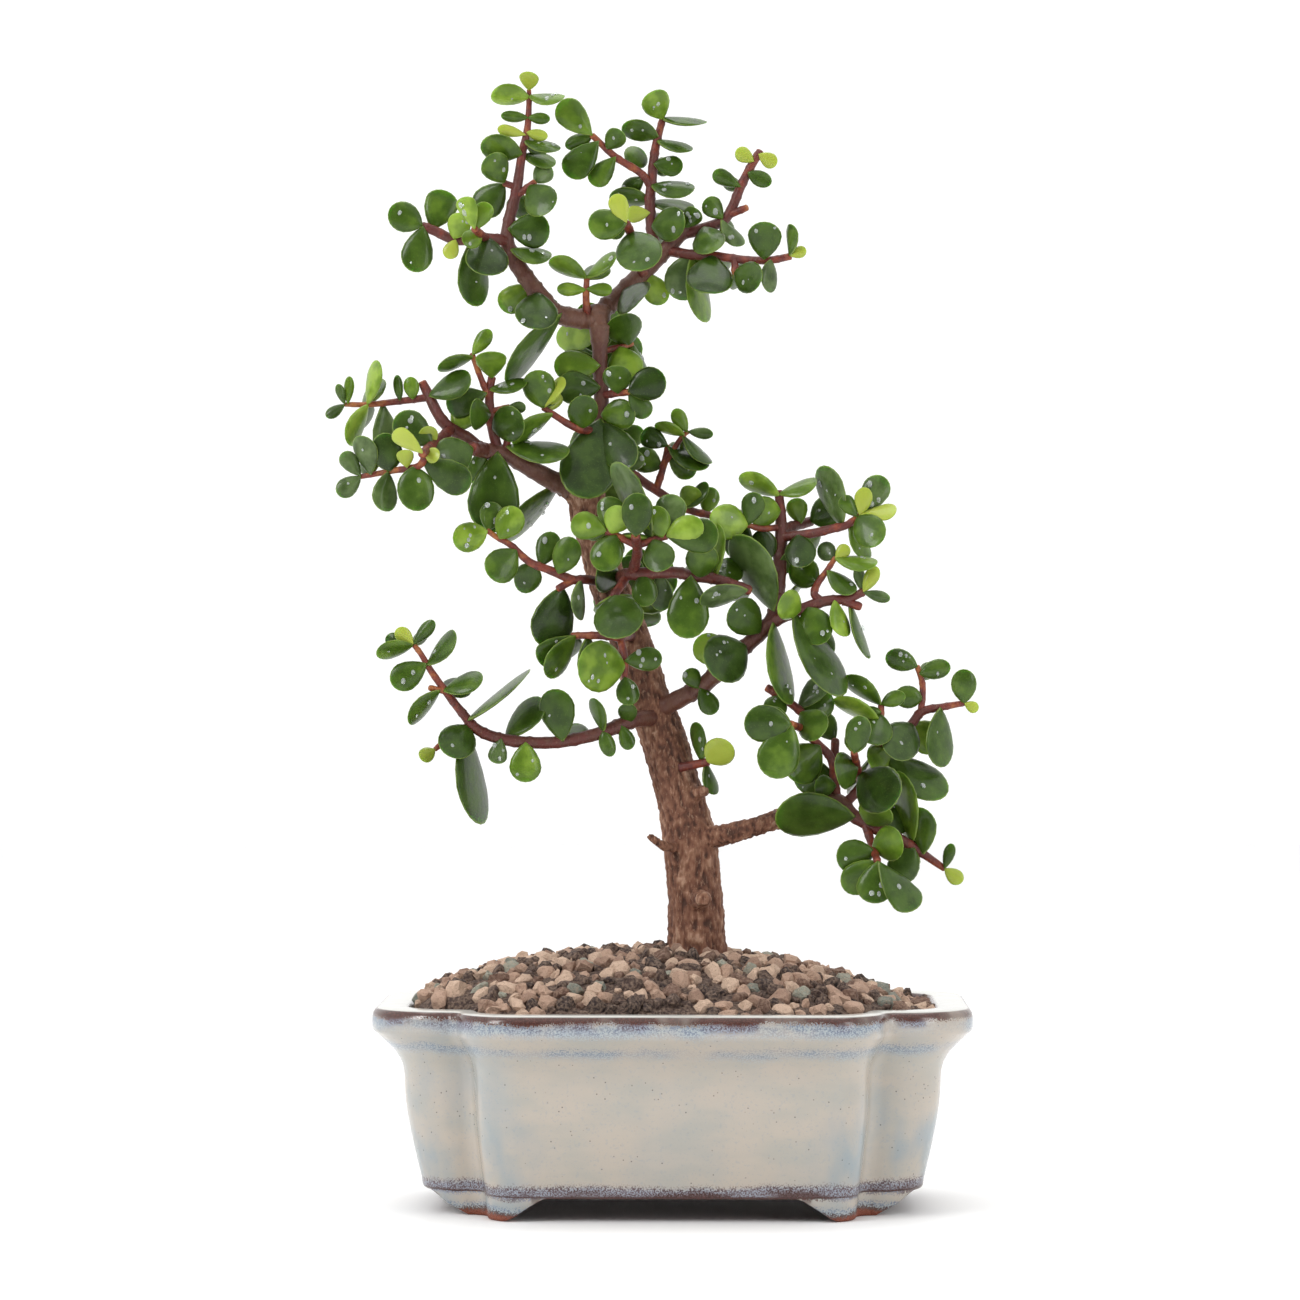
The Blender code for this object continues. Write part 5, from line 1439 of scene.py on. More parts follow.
def trunk_stems() -> list[Stem]:
    """Return the trunk, its limbs and its spreading surface roots."""
    foot = Vector((TRUNK_STEMS[0].points[1].x, TRUNK_STEMS[0].points[1].y, 0.0))
    roots = []
    for degrees, reach in ROOTS:
        heading = Vector((math.cos(math.radians(degrees)), math.sin(math.radians(degrees)), 0.0))
        heights = (ROOT_TOP, 0.5 * (ROOT_TOP + ROOT_END) + 2.0, ROOT_END)
        points = [foot + heading * reach * share + Vector((0, 0, z))
                  for share, z in zip((0.12, 0.5, 1.0), heights)]
        roots.append(Stem(points, [ROOT_DIAMETER / 2 * share for share in (1.0, 0.8, 0.4)]))
    return [*TRUNK_STEMS, *roots]


SPRAYS = (
    Spray("spray_low_left", (
        stem((-3.5, 134.2, 0, 4.6), (-10, 133.9, -4, 4.4), (-15, 132, -6, 4.1), (-22, 129.5, -7, 3.6),
             (-32, 127.5, -8, 3.4), (-42, 127.5, -9, 3.3), (-50, 129, -9, 3.2), (-55, 131.5, -9, 3),
             (-58, 135, -9, 2.6), (-62, 140, -9, 2.2), (-67, 147, -9, 1.9), (-70, 152, -9, 1.6), (-72, 154.5, -9, 1.5)),
        stem((-63, 141.5, -9, 1.8), (-67.5, 142.5, -10, 1.6)),
        stem((-56.5, 132.5, -9, 1.8), (-63, 128, -6, 1.6), (-66, 125.5, -6, 1.4)),
    ), (
        (-21, 136, 3.5, 8), (-18.5, 128, 4, 9.5), (-12.5, 135.5, 5, 5), (-13, 128.5, 4, 5), (-27, 130.5, 7, 4, "b"),
        (-32, 136.5, 9, 9.5), (-40.5, 121.5, 8, 7.5, "l"), (-48, 124.5, 5, 4, "f"), (-58.5, 129, 10, 9.5, "d"),
        (-73, 146, 8, 7), (-76, 155.5, 5, 4, "b"), (-74, 157, 4, 4, "y"), (-67.5, 124.5, 4, 4, "y"),
    ), (
        (-46, 129, -37, 139, 7, "b"), (-56, 134, -40.5, 146.5, 3.5, "f"), (-63, 141.5, -53, 145.5, 6),
        (-56, 130, -53, 107.5, 8), (-64, 142, -71.5, 133.5, 4), (-67, 149, -60.5, 157.5, 4),
        (-72, 154, -66, 160.5, 3.5), (-72, 154, -80.5, 152, 3.5),
    )),
    Spray("spray_low_right", (
        stem((28.5, 106.2, -3, 5), (35, 107.6, -4, 5), (40, 109, -5, 4.9), (45.5, 111, -6, 4.6), (50, 107, -7, 3.8),
             (57, 103, -8, 3.2), (62, 101, -8, 3), (67, 98, -8, 2.6), (75, 92.5, -8, 1.8)),
        stem((45.3, 110.5, -6, 3), (44.5, 118, -5, 2.5), (44.8, 128, -3, 2.3)),
        stem((44.5, 120, -5, 2.4), (43, 124, -5, 2.4), (38, 129, -6, 2.4), (36, 135, -8, 2.3), (30, 140, -8, 2.3),
             (26, 142.5, -8, 2.3)),
        stem((37.4, 130.5, -6, 2.3), (32.5, 132.5, -15, 2)),
        stem((47, 110, -6, 3), (50, 113, -6, 2.6), (54, 118, -5, 2.5), (60, 125, -3, 2.5), (66, 132.5, -3, 2.6),
             (69, 136, -3, 2.4), (75, 137.3, -3, 2), (80.5, 138.3, -3, 1.6)),
        stem((52, 115.6, -6, 2.4), (51, 120, -10, 2.2), (50, 124.5, -15, 2)),
        stem((58.5, 123, -4, 2.2), (57.5, 130, -5, 2), (57.5, 138, -5, 1.8)),
        stem((68.5, 135.5, -3, 2), (69, 143, -2, 1.8), (67.5, 148.5, -2, 1.5)),
        stem((53, 105, -7.5, 2.4), (55, 99, -10, 2.2), (56.5, 94.5, -15, 2)),
    ), (
        (57, 100, 9, 9, "l"), (54.5, 89.5, 9, 8.5), (50, 91, 8, 8, "b"), (49.5, 97, 9, 8.5), (63, 94, 8, 8.5),
        (54.5, 107.5, 11, 7), (62.5, 87, 9.5, 7), (61, 106, 8, 8, "b"), (63, 129, 10, 12, "d"), (56, 132, 8, 9),
        (50, 130.5, 6.5, 8), (57, 123.5, 9, 7.5, "l"), (47.5, 120.5, 6.5, 10), (54.5, 116, 11, 14, "d"),
        (65, 140, 7, 6), (72, 147.5, 8, 5), (80, 143, 6.5, 8), (70, 129, 8, 9, "bl"), (25.5, 133, 11, 9.5),
        (37, 133.5, 8.5, 8.5), (28.5, 124.5, 10.5, 10.5), (36, 122.5, 10, 11), (38.5, 118, 9, 9, "b"),
        (39.5, 138, 8, 8, "b"), (28, 138, 7, 5), (38.5, 142, 6, 5, "bf"), (42, 132, 6, 7, "b"), (42, 115.5, 6, 6),
        (60.5, 139.5, 6, 4), (77, 91, 4, 4, "yl"), (82.3, 137.3, 3, 3, "y"), (54.5, 136, 6, 3), (63, 150, 8.5, 5.5),
    ), (
        (49, 106, 29.5, 107.5, 12), (69, 98, 67, 109, 6), (66, 100, 61, 118, 7, "bl"), (61, 122, 72, 112, 8),
        (73.5, 137, 73.5, 122, 7), (54, 132.5, 45, 139, 5, "l"), (57.5, 138, 47.5, 145, 5), (75, 94, 76, 99.5, 3),
    )),
    Spray("spray_trunk_right", (
        stem((2, 120.5, -2, 2.6), (9.5, 122, -4, 2.2)),
    ), (
        (12, 124.5, 8, 8, "yl"), (6.5, 129, 3, 7, "b"), (10, 116.5, 4, 6, "b"),
    )),
    Spray("spray_front_low", (
        stem((-12, 157, -2, 2.8), (-15, 156.5, -9, 2.5), (-20, 157, -9, 2.2), (-28, 157, -8, 1.8)),
        stem((-14.8, 156.6, -8.5, 2.2), (-13.5, 150, -10, 2), (-13.5, 145.5, -10, 1.7)),
    ), (
        (-34, 152, 5, 7), (-18.5, 148.5, 13, 13, "l"), (-23.5, 150, 5, 8, "b"), (-12.5, 141.5, 6, 6),
        (-7.5, 150.5, 7, 6), (-7.5, 162, 6, 6),
    ), (
        (-27, 156.5, -34, 146.5, 5),
    )),
    Spray("spray_mid_right", (
        stem((-5, 136, 0, 5.4), (3, 140.2, -3, 5.1), (8, 143, -4, 4.8), (14, 148.5, -6, 4.6), (20, 154, -7, 4.3),
             (27, 161, -7, 4.2), (29, 168, -6, 4)),
        stem((25, 159.5, -7, 3.4), (33, 163.2, -9, 3), (41, 166.3, -9, 3), (48, 167.2, -9, 2.6), (52.5, 169, -9, 2.2)),
        stem((41, 166.5, -9, 2.4), (39, 168.5, -9, 2.2), (40, 171.5, -8, 1.9), (42.5, 175, -8, 1.6),
             (44.8, 178.5, -8, 1.4)),
        stem((47, 166.6, -9, 2.4), (51.7, 165, -9, 2.2)),
    ), (
        (15.5, 151.5, 12.5, 13, "d"), (10, 153, 8, 8, "bl"), (20, 161.5, 8, 12.5), (25, 171, 7.5, 10.5, "l"),
        (32, 165, 6, 9, "l"), (29.5, 167, 5, 3, "y"), (38, 161, 8.5, 13), (40, 155, 7, 9, "b"), (31.5, 172, 8, 8, "bd"),
        (36, 174, 8, 8, "b"), (5, 145.5, 5, 4), (9.5, 138.5, 5, 6), (46.3, 180, 3.5, 3.5, "y"), (42, 180, 4, 6, "bf"),
        (54, 173, 3.5, 6, "yl"),
    ), (
        (26, 164, 20.5, 184, 8.5, "f"), (27.5, 160, 28, 139.5, 5.5), (33, 162, 35, 139, 8, "b"),
        (43, 174, 48.3, 168.5, 4.5), (45, 177.5, 54.5, 175.5, 4, "l"), (52, 169, 58.5, 167, 3, "f"),
        (52, 169, 50.5, 175.5, 3, "f"), (44, 165.5, 47, 157.5, 4, "l"), (48, 165.5, 53.5, 152, 4, "b"),
    )),
    Spray("spray_upper_right", (
        stem((28.7, 166.5, -6, 4), (29.5, 178, -5, 3.8), (29.8, 188, -5, 3.2), (29.2, 196.8, -5, 2.3)),
        stem((29.6, 184.2, -5, 2.8), (38, 185.2, -7, 2.6), (44, 186.6, -8, 2.4), (48, 187.6, -8, 2.1),
             (51.5, 190.3, -8, 1.7)),
        stem((29.8, 186.4, -5, 3), (38, 188.6, -1, 2.8)),
        stem((29.6, 187, -5, 1.9), (24.5, 186.6, -7, 1.7), (20.5, 187.6, -8, 1.4)),
    ), (
        (34.5, 181, 8, 9.5, "d"), (24.5, 182.5, 7, 9, "bd"), (18, 183, 7, 9, "bd"), (15.5, 188, 10, 9, "l"),
        (25.5, 191, 9, 8, "l"), (21.5, 192, 6, 7, "bd"), (34, 191.8, 5.5, 5, "l"), (42, 191, 9.5, 8),
        (51.8, 194, 4.5, 6, "y"), (57, 191, 6.5, 5, "y"), (55.5, 197, 8, 6, "bf"), (53, 186, 8.5, 9),
        (47.5, 193, 5, 3.5),
    ), (
        (40.5, 184.5, 40.5, 171.5, 6.5, "f"), (46, 188, 40.5, 202, 5, "bf"), (29, 195.5, 19, 200.5, 4, "l"),
        (29.3, 195.8, 38.5, 199.5, 4, "l"), (49, 187, 53.5, 179, 4.5, "b"),
    )),
    Spray("spray_front_centre", (
        stem((-15, 173, -2, 3.8), (-12, 174, -10, 3.4), (0, 174.5, -11, 3.2), (5, 173.5, -11, 3.1), (12, 172.5, -11, 3),
             (21, 169.5, -12, 2.8)),
        stem((-11.5, 173.8, -10, 3), (-10, 180, -14, 2.7), (-10.5, 184.5, -18, 2.6)),
        stem((-10.2, 182, -15.5, 2.2), (-18.5, 186, -15, 1.8)),
        stem((-10.2, 182, -15.5, 2.2), (-2, 184.5, -15, 1.8)),
        stem((-12.5, 174, -9, 2.6), (-16.5, 168, -12, 2.2)),
    ), (
        (-23.5, 186.5, 7.5, 7, "l"), (-15.5, 188, 7, 7, "l"), (-17.5, 191, 7, 6, "b"), (-10, 190, 8, 9, "d"),
        (-4.5, 188, 6.5, 7, "l"), (3, 185.5, 9, 7, "l"), (-18, 179.5, 8, 9.5), (-4.5, 179.5, 8, 9.5),
        (-19, 173.5, 11.5, 9, "d"), (-15.5, 164, 13, 14, "d"), (-8, 169.5, 6.5, 8), (7.5, 176.5, 8.5, 9.5),
        (14.5, 174, 8, 8, "b"), (-3.5, 168, 6, 7, "bf"), (7, 184, 8, 9, "b"), (12.5, 182, 5, 9, "bl"),
        (-1, 191, 8, 7, "bf"),
    ), (
        (4.5, 172.5, 3.5, 157.5, 10.5), (20, 169, 8, 166.5, 5, "f"), (-6, 184, -16, 202, 7, "bf"),
    )),
    Spray("spray_mid_left", (
        stem((-19, 171.5, -2, 2.8), (-24, 172.5, -7, 2.6), (-28, 172.5, -8, 2.5), (-34, 175, -9, 2.3),
             (-40, 177.5, -9, 2.1), (-45, 182, -9, 1.8), (-49, 184.3, -9, 1.6), (-51.5, 186, -9, 1.4)),
        stem((-27.5, 172.5, -8, 2.2), (-32, 170, -9, 1.9)),
    ), (
        (-55.5, 184, 8.5, 7.5, "l"), (-45, 188, 7.5, 7.5, "l"), (-50, 190, 6, 6, "b"), (-46.5, 176.5, 8.5, 9),
        (-40, 173, 7, 8, "b"), (-29.5, 179, 7, 9), (-34.5, 181, 6, 8, "b"), (-25.5, 166, 3.5, 8, "f"),
    ), (
        (-30.5, 170.5, -33, 154.5, 9.5, "d"),
    )),
    Spray("spray_upper_left", (
        stem((-29, 197.8, 0, 5.6), (-34, 200.2, -1, 5.5), (-40, 203.5, -3, 4.8), (-47, 207.5, -4, 4.6),
             (-53, 208.3, -5, 4.2), (-57, 211.5, -6, 3.7), (-62, 214.5, -7, 3.4), (-65, 218, -7, 3.1),
             (-68, 224, -6, 2.9), (-69.5, 227, -6, 2.4)),
        stem((-52.5, 208.2, -5, 4.2), (-55.5, 208.8, -10, 3.6)),
        stem((-46.5, 207.5, -4, 2.6), (-46, 211, -5, 2)),
        stem((-67.6, 223, -6, 2.2), (-75, 222, -6, 1.9), (-84, 221, -6, 1.6), (-91, 221, -6, 1.3)),
        stem((-61.5, 214, -7, 3), (-66, 210.5, -13, 2.6), (-69.5, 207.3, -21, 2.5)),
        stem((-68.5, 208, -18, 2), (-70.5, 204, -16, 1.9), (-78, 202.6, -13, 1.7), (-86.5, 201, -12, 1.4)),
        stem((-48.5, 208, -4, 3), (-50.5, 216, -5, 2.7), (-51, 224, -5, 2.5), (-50.3, 228.3, -5, 2.2)),
        stem((-51, 222.5, -5, 1.9), (-54, 230, -6, 1.6), (-55.8, 235, -6, 1.4)),
        stem((-50.5, 219, -5, 2), (-45.5, 220.3, -6, 1.6)),
    ), (
        (-75.5, 225, 2.5, 6), (-72, 225, 4, 5, "l"), (-73, 210, 4.5, 4.5, "y"), (-66.3, 211, 4.5, 5.5, "y"),
        (-72.8, 205.3, 4.5, 3, "y"), (-65.6, 205.8, 4.5, 4, "y"), (-78, 206.5, 8, 9.5, "d"), (-59.5, 206, 9.5, 10),
        (-71, 213, 10, 8), (-70, 197, 9.5, 11), (-60.5, 200, 10, 8, "bd"), (-83.5, 206.5, 5.5, 8.5, "f"),
        (-79, 212, 6, 6, "bf"), (-53.5, 202.5, 6, 7, "b"), (-50, 232, 8, 4, "l"), (-60.5, 226, 10, 6), (-58, 221, 7, 8),
        (-53.5, 217.5, 3.5, 8), (-47, 214.5, 11, 9.5, "d"), (-58, 217, 7, 6, "bl"), (-88.5, 204.5, 5, 4, "f"),
        (-41, 208.5, 5, 4, "bf"),
    ), (
        (-84, 221, -81.5, 231.5, 3.5, "l"), (-84, 221, -88.5, 210, 4, "l"), (-89.5, 221, -89, 227.5, 2.6, "l"),
        (-90.5, 221, -95, 217.3, 3, "f"), (-90.5, 221, -92, 225.5, 2.4, "f"), (-86, 201.5, -91, 195.7, 5, "f"),
        (-78, 202.5, -78.3, 191.5, 5.5, "f"), (-48.5, 206.5, -50, 187, 13), (-46, 209, -30, 207.5, 6.5),
        (-55.3, 234, -50.7, 240.3, 4, "l"), (-55.3, 233.5, -64, 230.3, 3.6), (-50.5, 224.5, -41, 226.5, 3.6),
        (-46, 220.3, -41, 219.5, 3, "f"), (-32, 198.5, -38, 180, 7),
    )),
    Spray("spray_inner_right", (
        stem((-21.7, 208.5, 0, 3.2), (-17, 206, 3, 3), (-11, 201.5, 5, 2.6), (-4.5, 197, 5, 2.4), (4, 192, 5, 2.2),
             (10, 190.3, 5, 2)),
        stem((-5, 196.8, 5, 2.2), (-3, 203, 5, 1.9), (-1.5, 209.5, 5, 1.7)),
        stem((-3.2, 203.5, 5, 1.7), (2, 211.5, 4, 1.5), (4, 213.5, 4, 1.3)),
    ), (
        (3, 204, 6, 6, "b"), (4.5, 195.5, 6, 5, "l"), (10, 195, 5, 6, "bl"), (13, 191.5, 4, 2.5, "y"),
        (-7.5, 206, 6.5, 7, "b"), (-6, 212, 5, 6), (-11, 205.5, 5, 5, "f"),
    ), (
        (3, 213, -4.5, 215.5, 3.5, "l"), (4, 213.5, 0.5, 219.5, 4, "l"), (4.3, 213.5, 10.5, 213, 3, "f"),
        (3, 212, 10, 205.5, 4), (-1, 209.5, 8, 203, 5, "d"), (4, 193, 9, 199, 4),
    )),
    Spray("spray_leader", (
        stem((-22.8, 201, 1, 5.8), (-21.6, 209, 0, 5), (-20, 216, 0, 4.3), (-20.2, 228, 0, 4), (-20.4, 236, 0, 4.2),
             (-20.5, 242, 0, 5.8), (-20.6, 247.4, 0, 6.6)),
        stem((-20.1, 223.5, 0, 2.3), (-12.5, 224.5, -4, 1.8)),
        stem((-20.3, 213.5, 0, 2.4), (-27, 214.5, -4, 2.1), (-36, 220, -5, 1.6)),
        stem((-20.4, 235.5, 0, 2), (-11.5, 237.8, 4, 1.5)),
    ), (
        (-28, 240.5, 10.5, 8, "l"), (-13.5, 241.5, 10, 7), (-27.5, 231.5, 9, 8, "l"), (-13.5, 232, 9.5, 8, "l"),
        (-27, 225.5, 8.5, 8.5), (-15.5, 227, 7.5, 7), (-7.5, 226, 9.5, 8.5, "d"), (-25, 218, 8, 8.5),
        (-15, 218, 7.5, 8), (-37, 225, 8.5, 8), (-32.5, 226.5, 4, 3, "y"), (-32.5, 222, 4, 3, "y"),
        (-9, 220, 6, 5, "b"),
    ), (
        (-20.5, 217, -25, 196.5, 14.5, "d"), (-18, 216, -12.5, 204, 9, "d"), (-11, 237.5, -7, 229, 3.5, "b"),
        (-33, 218.5, -43.5, 210.5, 5),
    )),
    Spray("spray_crown_left", (
        stem((-21.6, 244.2, 0, 5.2), (-24, 244.5, 0, 5.3), (-28, 245, -1, 5.5), (-33, 246.5, -2, 5.3),
             (-36, 250, -3, 5), (-40, 255, -3, 4.8), (-44, 261, -3, 4.5), (-46, 266, -3, 4), (-45.5, 272, -3, 3.4),
             (-43.5, 280, -3, 3), (-42, 290, -3, 2.4), (-40.5, 297, -3, 2), (-40, 304, -3, 1.6), (-40, 308, -3, 1.3)),
        stem((-45.8, 266.2, -3, 3.2), (-52, 267, -6, 2.9), (-60, 266.5, -7, 2.8), (-66, 269, -7, 2.7),
             (-69.5, 270.3, -7, 2.6)),
        stem((-52, 267, -6, 2.4), (-55, 269.5, -15, 2)),
        stem((-43.8, 278.5, -3, 2.2), (-38.5, 282.5, -4, 1.9)),
        stem((-43.2, 281, -3, 2), (-46.8, 282.3, -3, 1.8)),
        stem((-23.5, 244.3, 0, 2.4), (-24.2, 250, -2, 2), (-24, 256, -2, 1.6)),
    ), (
        (-59, 269, 6, 6, "l"), (-56.5, 273, 5, 4, "l"), (-54.5, 265.5, 6, 5, "l"), (-51.8, 271.5, 5, 5, "l"),
        (-73.5, 271.5, 8.5, 7.5), (-64, 275, 9, 7, "b"), (-51, 277, 10, 7, "b"), (-42.5, 276, 7, 6, "b"),
        (-37, 277, 9.5, 8), (-39, 268.5, 8, 9), (-51, 260.5, 11, 9, "d"), (-54.5, 255, 8, 12, "b"),
        (-37.5, 247, 11, 11, "d"), (-44.5, 250, 6, 8, "bl"), (-61, 262.5, 4, 4, "y"), (-47.5, 291, 10, 6),
        (-36, 292, 9, 4), (-49, 286, 9.5, 5), (-36.5, 288.5, 7, 4, "b"), (-36, 284.5, 8, 4, "bf"),
        (-45.5, 296, 5, 3, "y"), (-37.5, 295, 5, 3, "y"), (-44, 300, 6, 3), (-37, 299.5, 5, 3),
        (-45, 305.5, 9, 4.5, "l"), (-35, 305.5, 8.5, 4, "l"), (-39.8, 310, 5, 3, "y"), (-28.5, 252.5, 6, 3.5, "l"),
        (-20, 252.5, 5, 3.5, "l"),
    ), (
        (-68.5, 269.5, -71, 257.5, 8), (-43, 264, -34.5, 261.5, 5), (-31, 245.5, -42, 226, 5),
        (-24, 256, -33.5, 260, 4, "l"), (-24, 256, -16.5, 262, 4, "l"),
    )),
    Spray("spray_crown_right", (
        stem((-20.2, 245.4, 0, 4.8), (-18.6, 248, 1, 5.1), (-15.6, 250.4, 2, 5.3), (-10, 256, 3, 5.1),
             (-5, 261, 3, 4.8), (-1, 265, 3, 4.4), (3.3, 269.8, 3, 4)),
        stem((-5, 261.5, 3, 3.4), (-6.5, 275, 3, 3), (-6, 283, 3, 2.8), (-5, 292, 3, 2.4), (-3, 300, 3, 1.9)),
        stem((-6.2, 281, 3, 2.2), (-9, 285, 2, 2.1), (-16, 289.5, 1, 2), (-22.5, 295.5, 0, 1.7)),
        stem((-1.5, 263.5, 3, 3), (5, 262.5, 0, 2.7), (12, 262, -2, 2.5), (20, 261, -3, 2.3), (27, 261, -4, 2.1),
             (32.3, 262, -4, 2)),
        stem((17, 261.5, -2.5, 2.2), (17, 257.5, -4, 1.9)),
        stem((1.5, 267.8, 3, 3.2), (12, 271, 3, 3), (15.5, 274, 3, 2.8), (18.5, 281, 3, 2.6), (21.5, 287, 3, 2.4),
             (24, 291, 3, 2.3)),
        stem((15, 273.3, 3, 2.2), (20.3, 275.5, 2, 1.9)),
        stem((-8.5, 257.5, 2, 2.8), (-10.5, 265, -6, 2.5), (-13, 271, -12, 2.4)),
    ), (
        (-15, 274, 5, 5, "y"), (-10.5, 274, 4, 4.5, "y"), (-10, 262.5, 12, 12), (-18, 269, 9, 8),
        (-12.5, 278.5, 9, 5, "b"), (-2, 271, 9, 9), (-10.5, 249.5, 12, 10.5, "d"), (-5, 253, 6, 8, "bl"),
        (-11.5, 282, 8, 4, "b"), (-20, 285, 5, 9), (-10.5, 290, 8, 5, "b"), (-1, 287.5, 6, 5.5), (-9.5, 297, 9, 4.5),
        (1, 293, 8, 4), (-4.5, 304, 8, 6, "l"), (3.5, 300, 10, 3.5), (0, 281.5, 10, 4.5), (0, 277, 10, 3, "bf"),
        (11, 276, 9, 4), (5, 273, 6, 4), (9.5, 266.5, 9, 7), (17, 268, 4, 10, "f"), (10, 256.5, 12, 10, "d"),
        (3, 256, 10, 10, "bf"), (20, 255.5, 7, 9), (25, 266.5, 8.5, 6.5), (26.5, 256, 4, 8, "f"), (32, 267, 3, 5),
        (34.5, 262.5, 3.5, 3, "y"), (14, 284, 6, 4), (24, 284, 7, 4), (26.5, 289, 4, 4, "y"), (19.5, 290.5, 4, 4, "y"),
        (-28, 301, 9, 7, "l"), (-26.5, 294, 7, 4, "b"), (-16.5, 294, 6, 5), (-26, 288, 7, 10),
    ), (
        (5, 262, 6.5, 245, 6, "bl"),
    )),
    Spray("spray_back_mid", (
        stem((-14, 162, 1, 3.2), (-12, 166, 6, 2.8), (-9, 170, 12, 2.4), (-8, 174, 18, 1.8)),
    ), pairs=5),
    Spray("spray_back_upper", (
        stem((-23, 189, 1, 3.2), (-21, 196, 6, 2.8), (-18, 204, 11, 2.4), (-16, 210, 15, 1.8)),
    ), pairs=5),
    Spray("spray_back_crown", (
        stem((-20.3, 229, 0, 2.8), (-20, 233, 5, 2.5), (-21, 238, 10, 2.2), (-22, 242, 14, 1.7)),
    ), pairs=5),
)


# Plant

@dataclass
class Trunk:
    """Leaning trunk with its limbs, pruning scars and surface roots, in one grown skin."""

    voxel: float = 0.55
    fissure: float = 0.8
    finish: TrunkBark = field(default_factory=TrunkBark)

    def tube(self, made: Stem) -> Object:
        """Skin one stem with fine rings and a domed end."""
        run = smooth_run(made, 1.0)
        points = [Vector(p[:3]) for p in run]
        radii = [float(p[3]) for p in run]
        end = (points[-1] - points[-2]).normalized()
        for share, rise in ((0.87, 0.3), (0.5, 0.5)):
            points.append(points[len(run) - 1] + end * radii[len(run) - 1] * rise)
            radii.append(radii[len(run) - 1] * share)
        return new_object("limb", *coarse_tube(Stem(points, radii, 20)), Matrix.Identity(4))

    def build(self) -> None:
        """Build the trunk and dress it."""
        parts = [self.tube(made) for made in trunk_stems()]
        shell = bmesh.new()
        for part in parts:
            shell.from_mesh(part.data)
        mesh = bpy.data.meshes.new("old_trunk")
        shell.to_mesh(mesh)
        shell.free()
        remove(parts)
        trunk = add_object("old_trunk", mesh)
        skin = trunk.modifiers.new("one skin", "REMESH")
        skin.mode, skin.voxel_size, skin.use_smooth_shade = "VOXEL", self.voxel, True
        ease = trunk.modifiers.new("soft forks", "SMOOTH")
        ease.iterations, ease.factor = 6, 0.6
        trunk = take_modified_mesh(trunk)
        self.carve(trunk.data)
        trunk.data.transform(plant_place())
        trunk.data.shade_smooth()
        dress(trunk, self.finish, self.finish.material(), "trunk")

    def carve(self, mesh: Mesh) -> None:
        """Split the bark lengthwise and store its relief, from 0 in a crack to 1 on a plate."""
        relief = []
        for corner, normal in zip(mesh.vertices, [v.normal.copy() for v in mesh.vertices]):
            x, y, z = corner.co
            lean = Vector((x + 0.3 * max(z - 100, 0), y, z * 0.26))
            ridge = 1 - abs(noise.fractal(lean * 0.62, 0.9, 2.1, 3))
            plates = noise.noise(Vector((x * 0.3, y * 0.3, z * 0.09)) + Vector((7, 3, 1)))
            rings = noise.noise(Vector((x * 0.1, y * 0.1, z * 0.8)))
            flakes = noise.noise(Vector((x * 0.9, y * 0.9, z * 0.6)))
            value = 1.1 * (ridge - 0.75) + 0.3 * plates + 0.2 * rings + 0.35 * flakes
            corner.co += normal * self.fissure * value
            relief.append(min(max(0.5 + value, 0.0), 1.0))
        set_attribute(mesh, "relief", "FLOAT", relief)


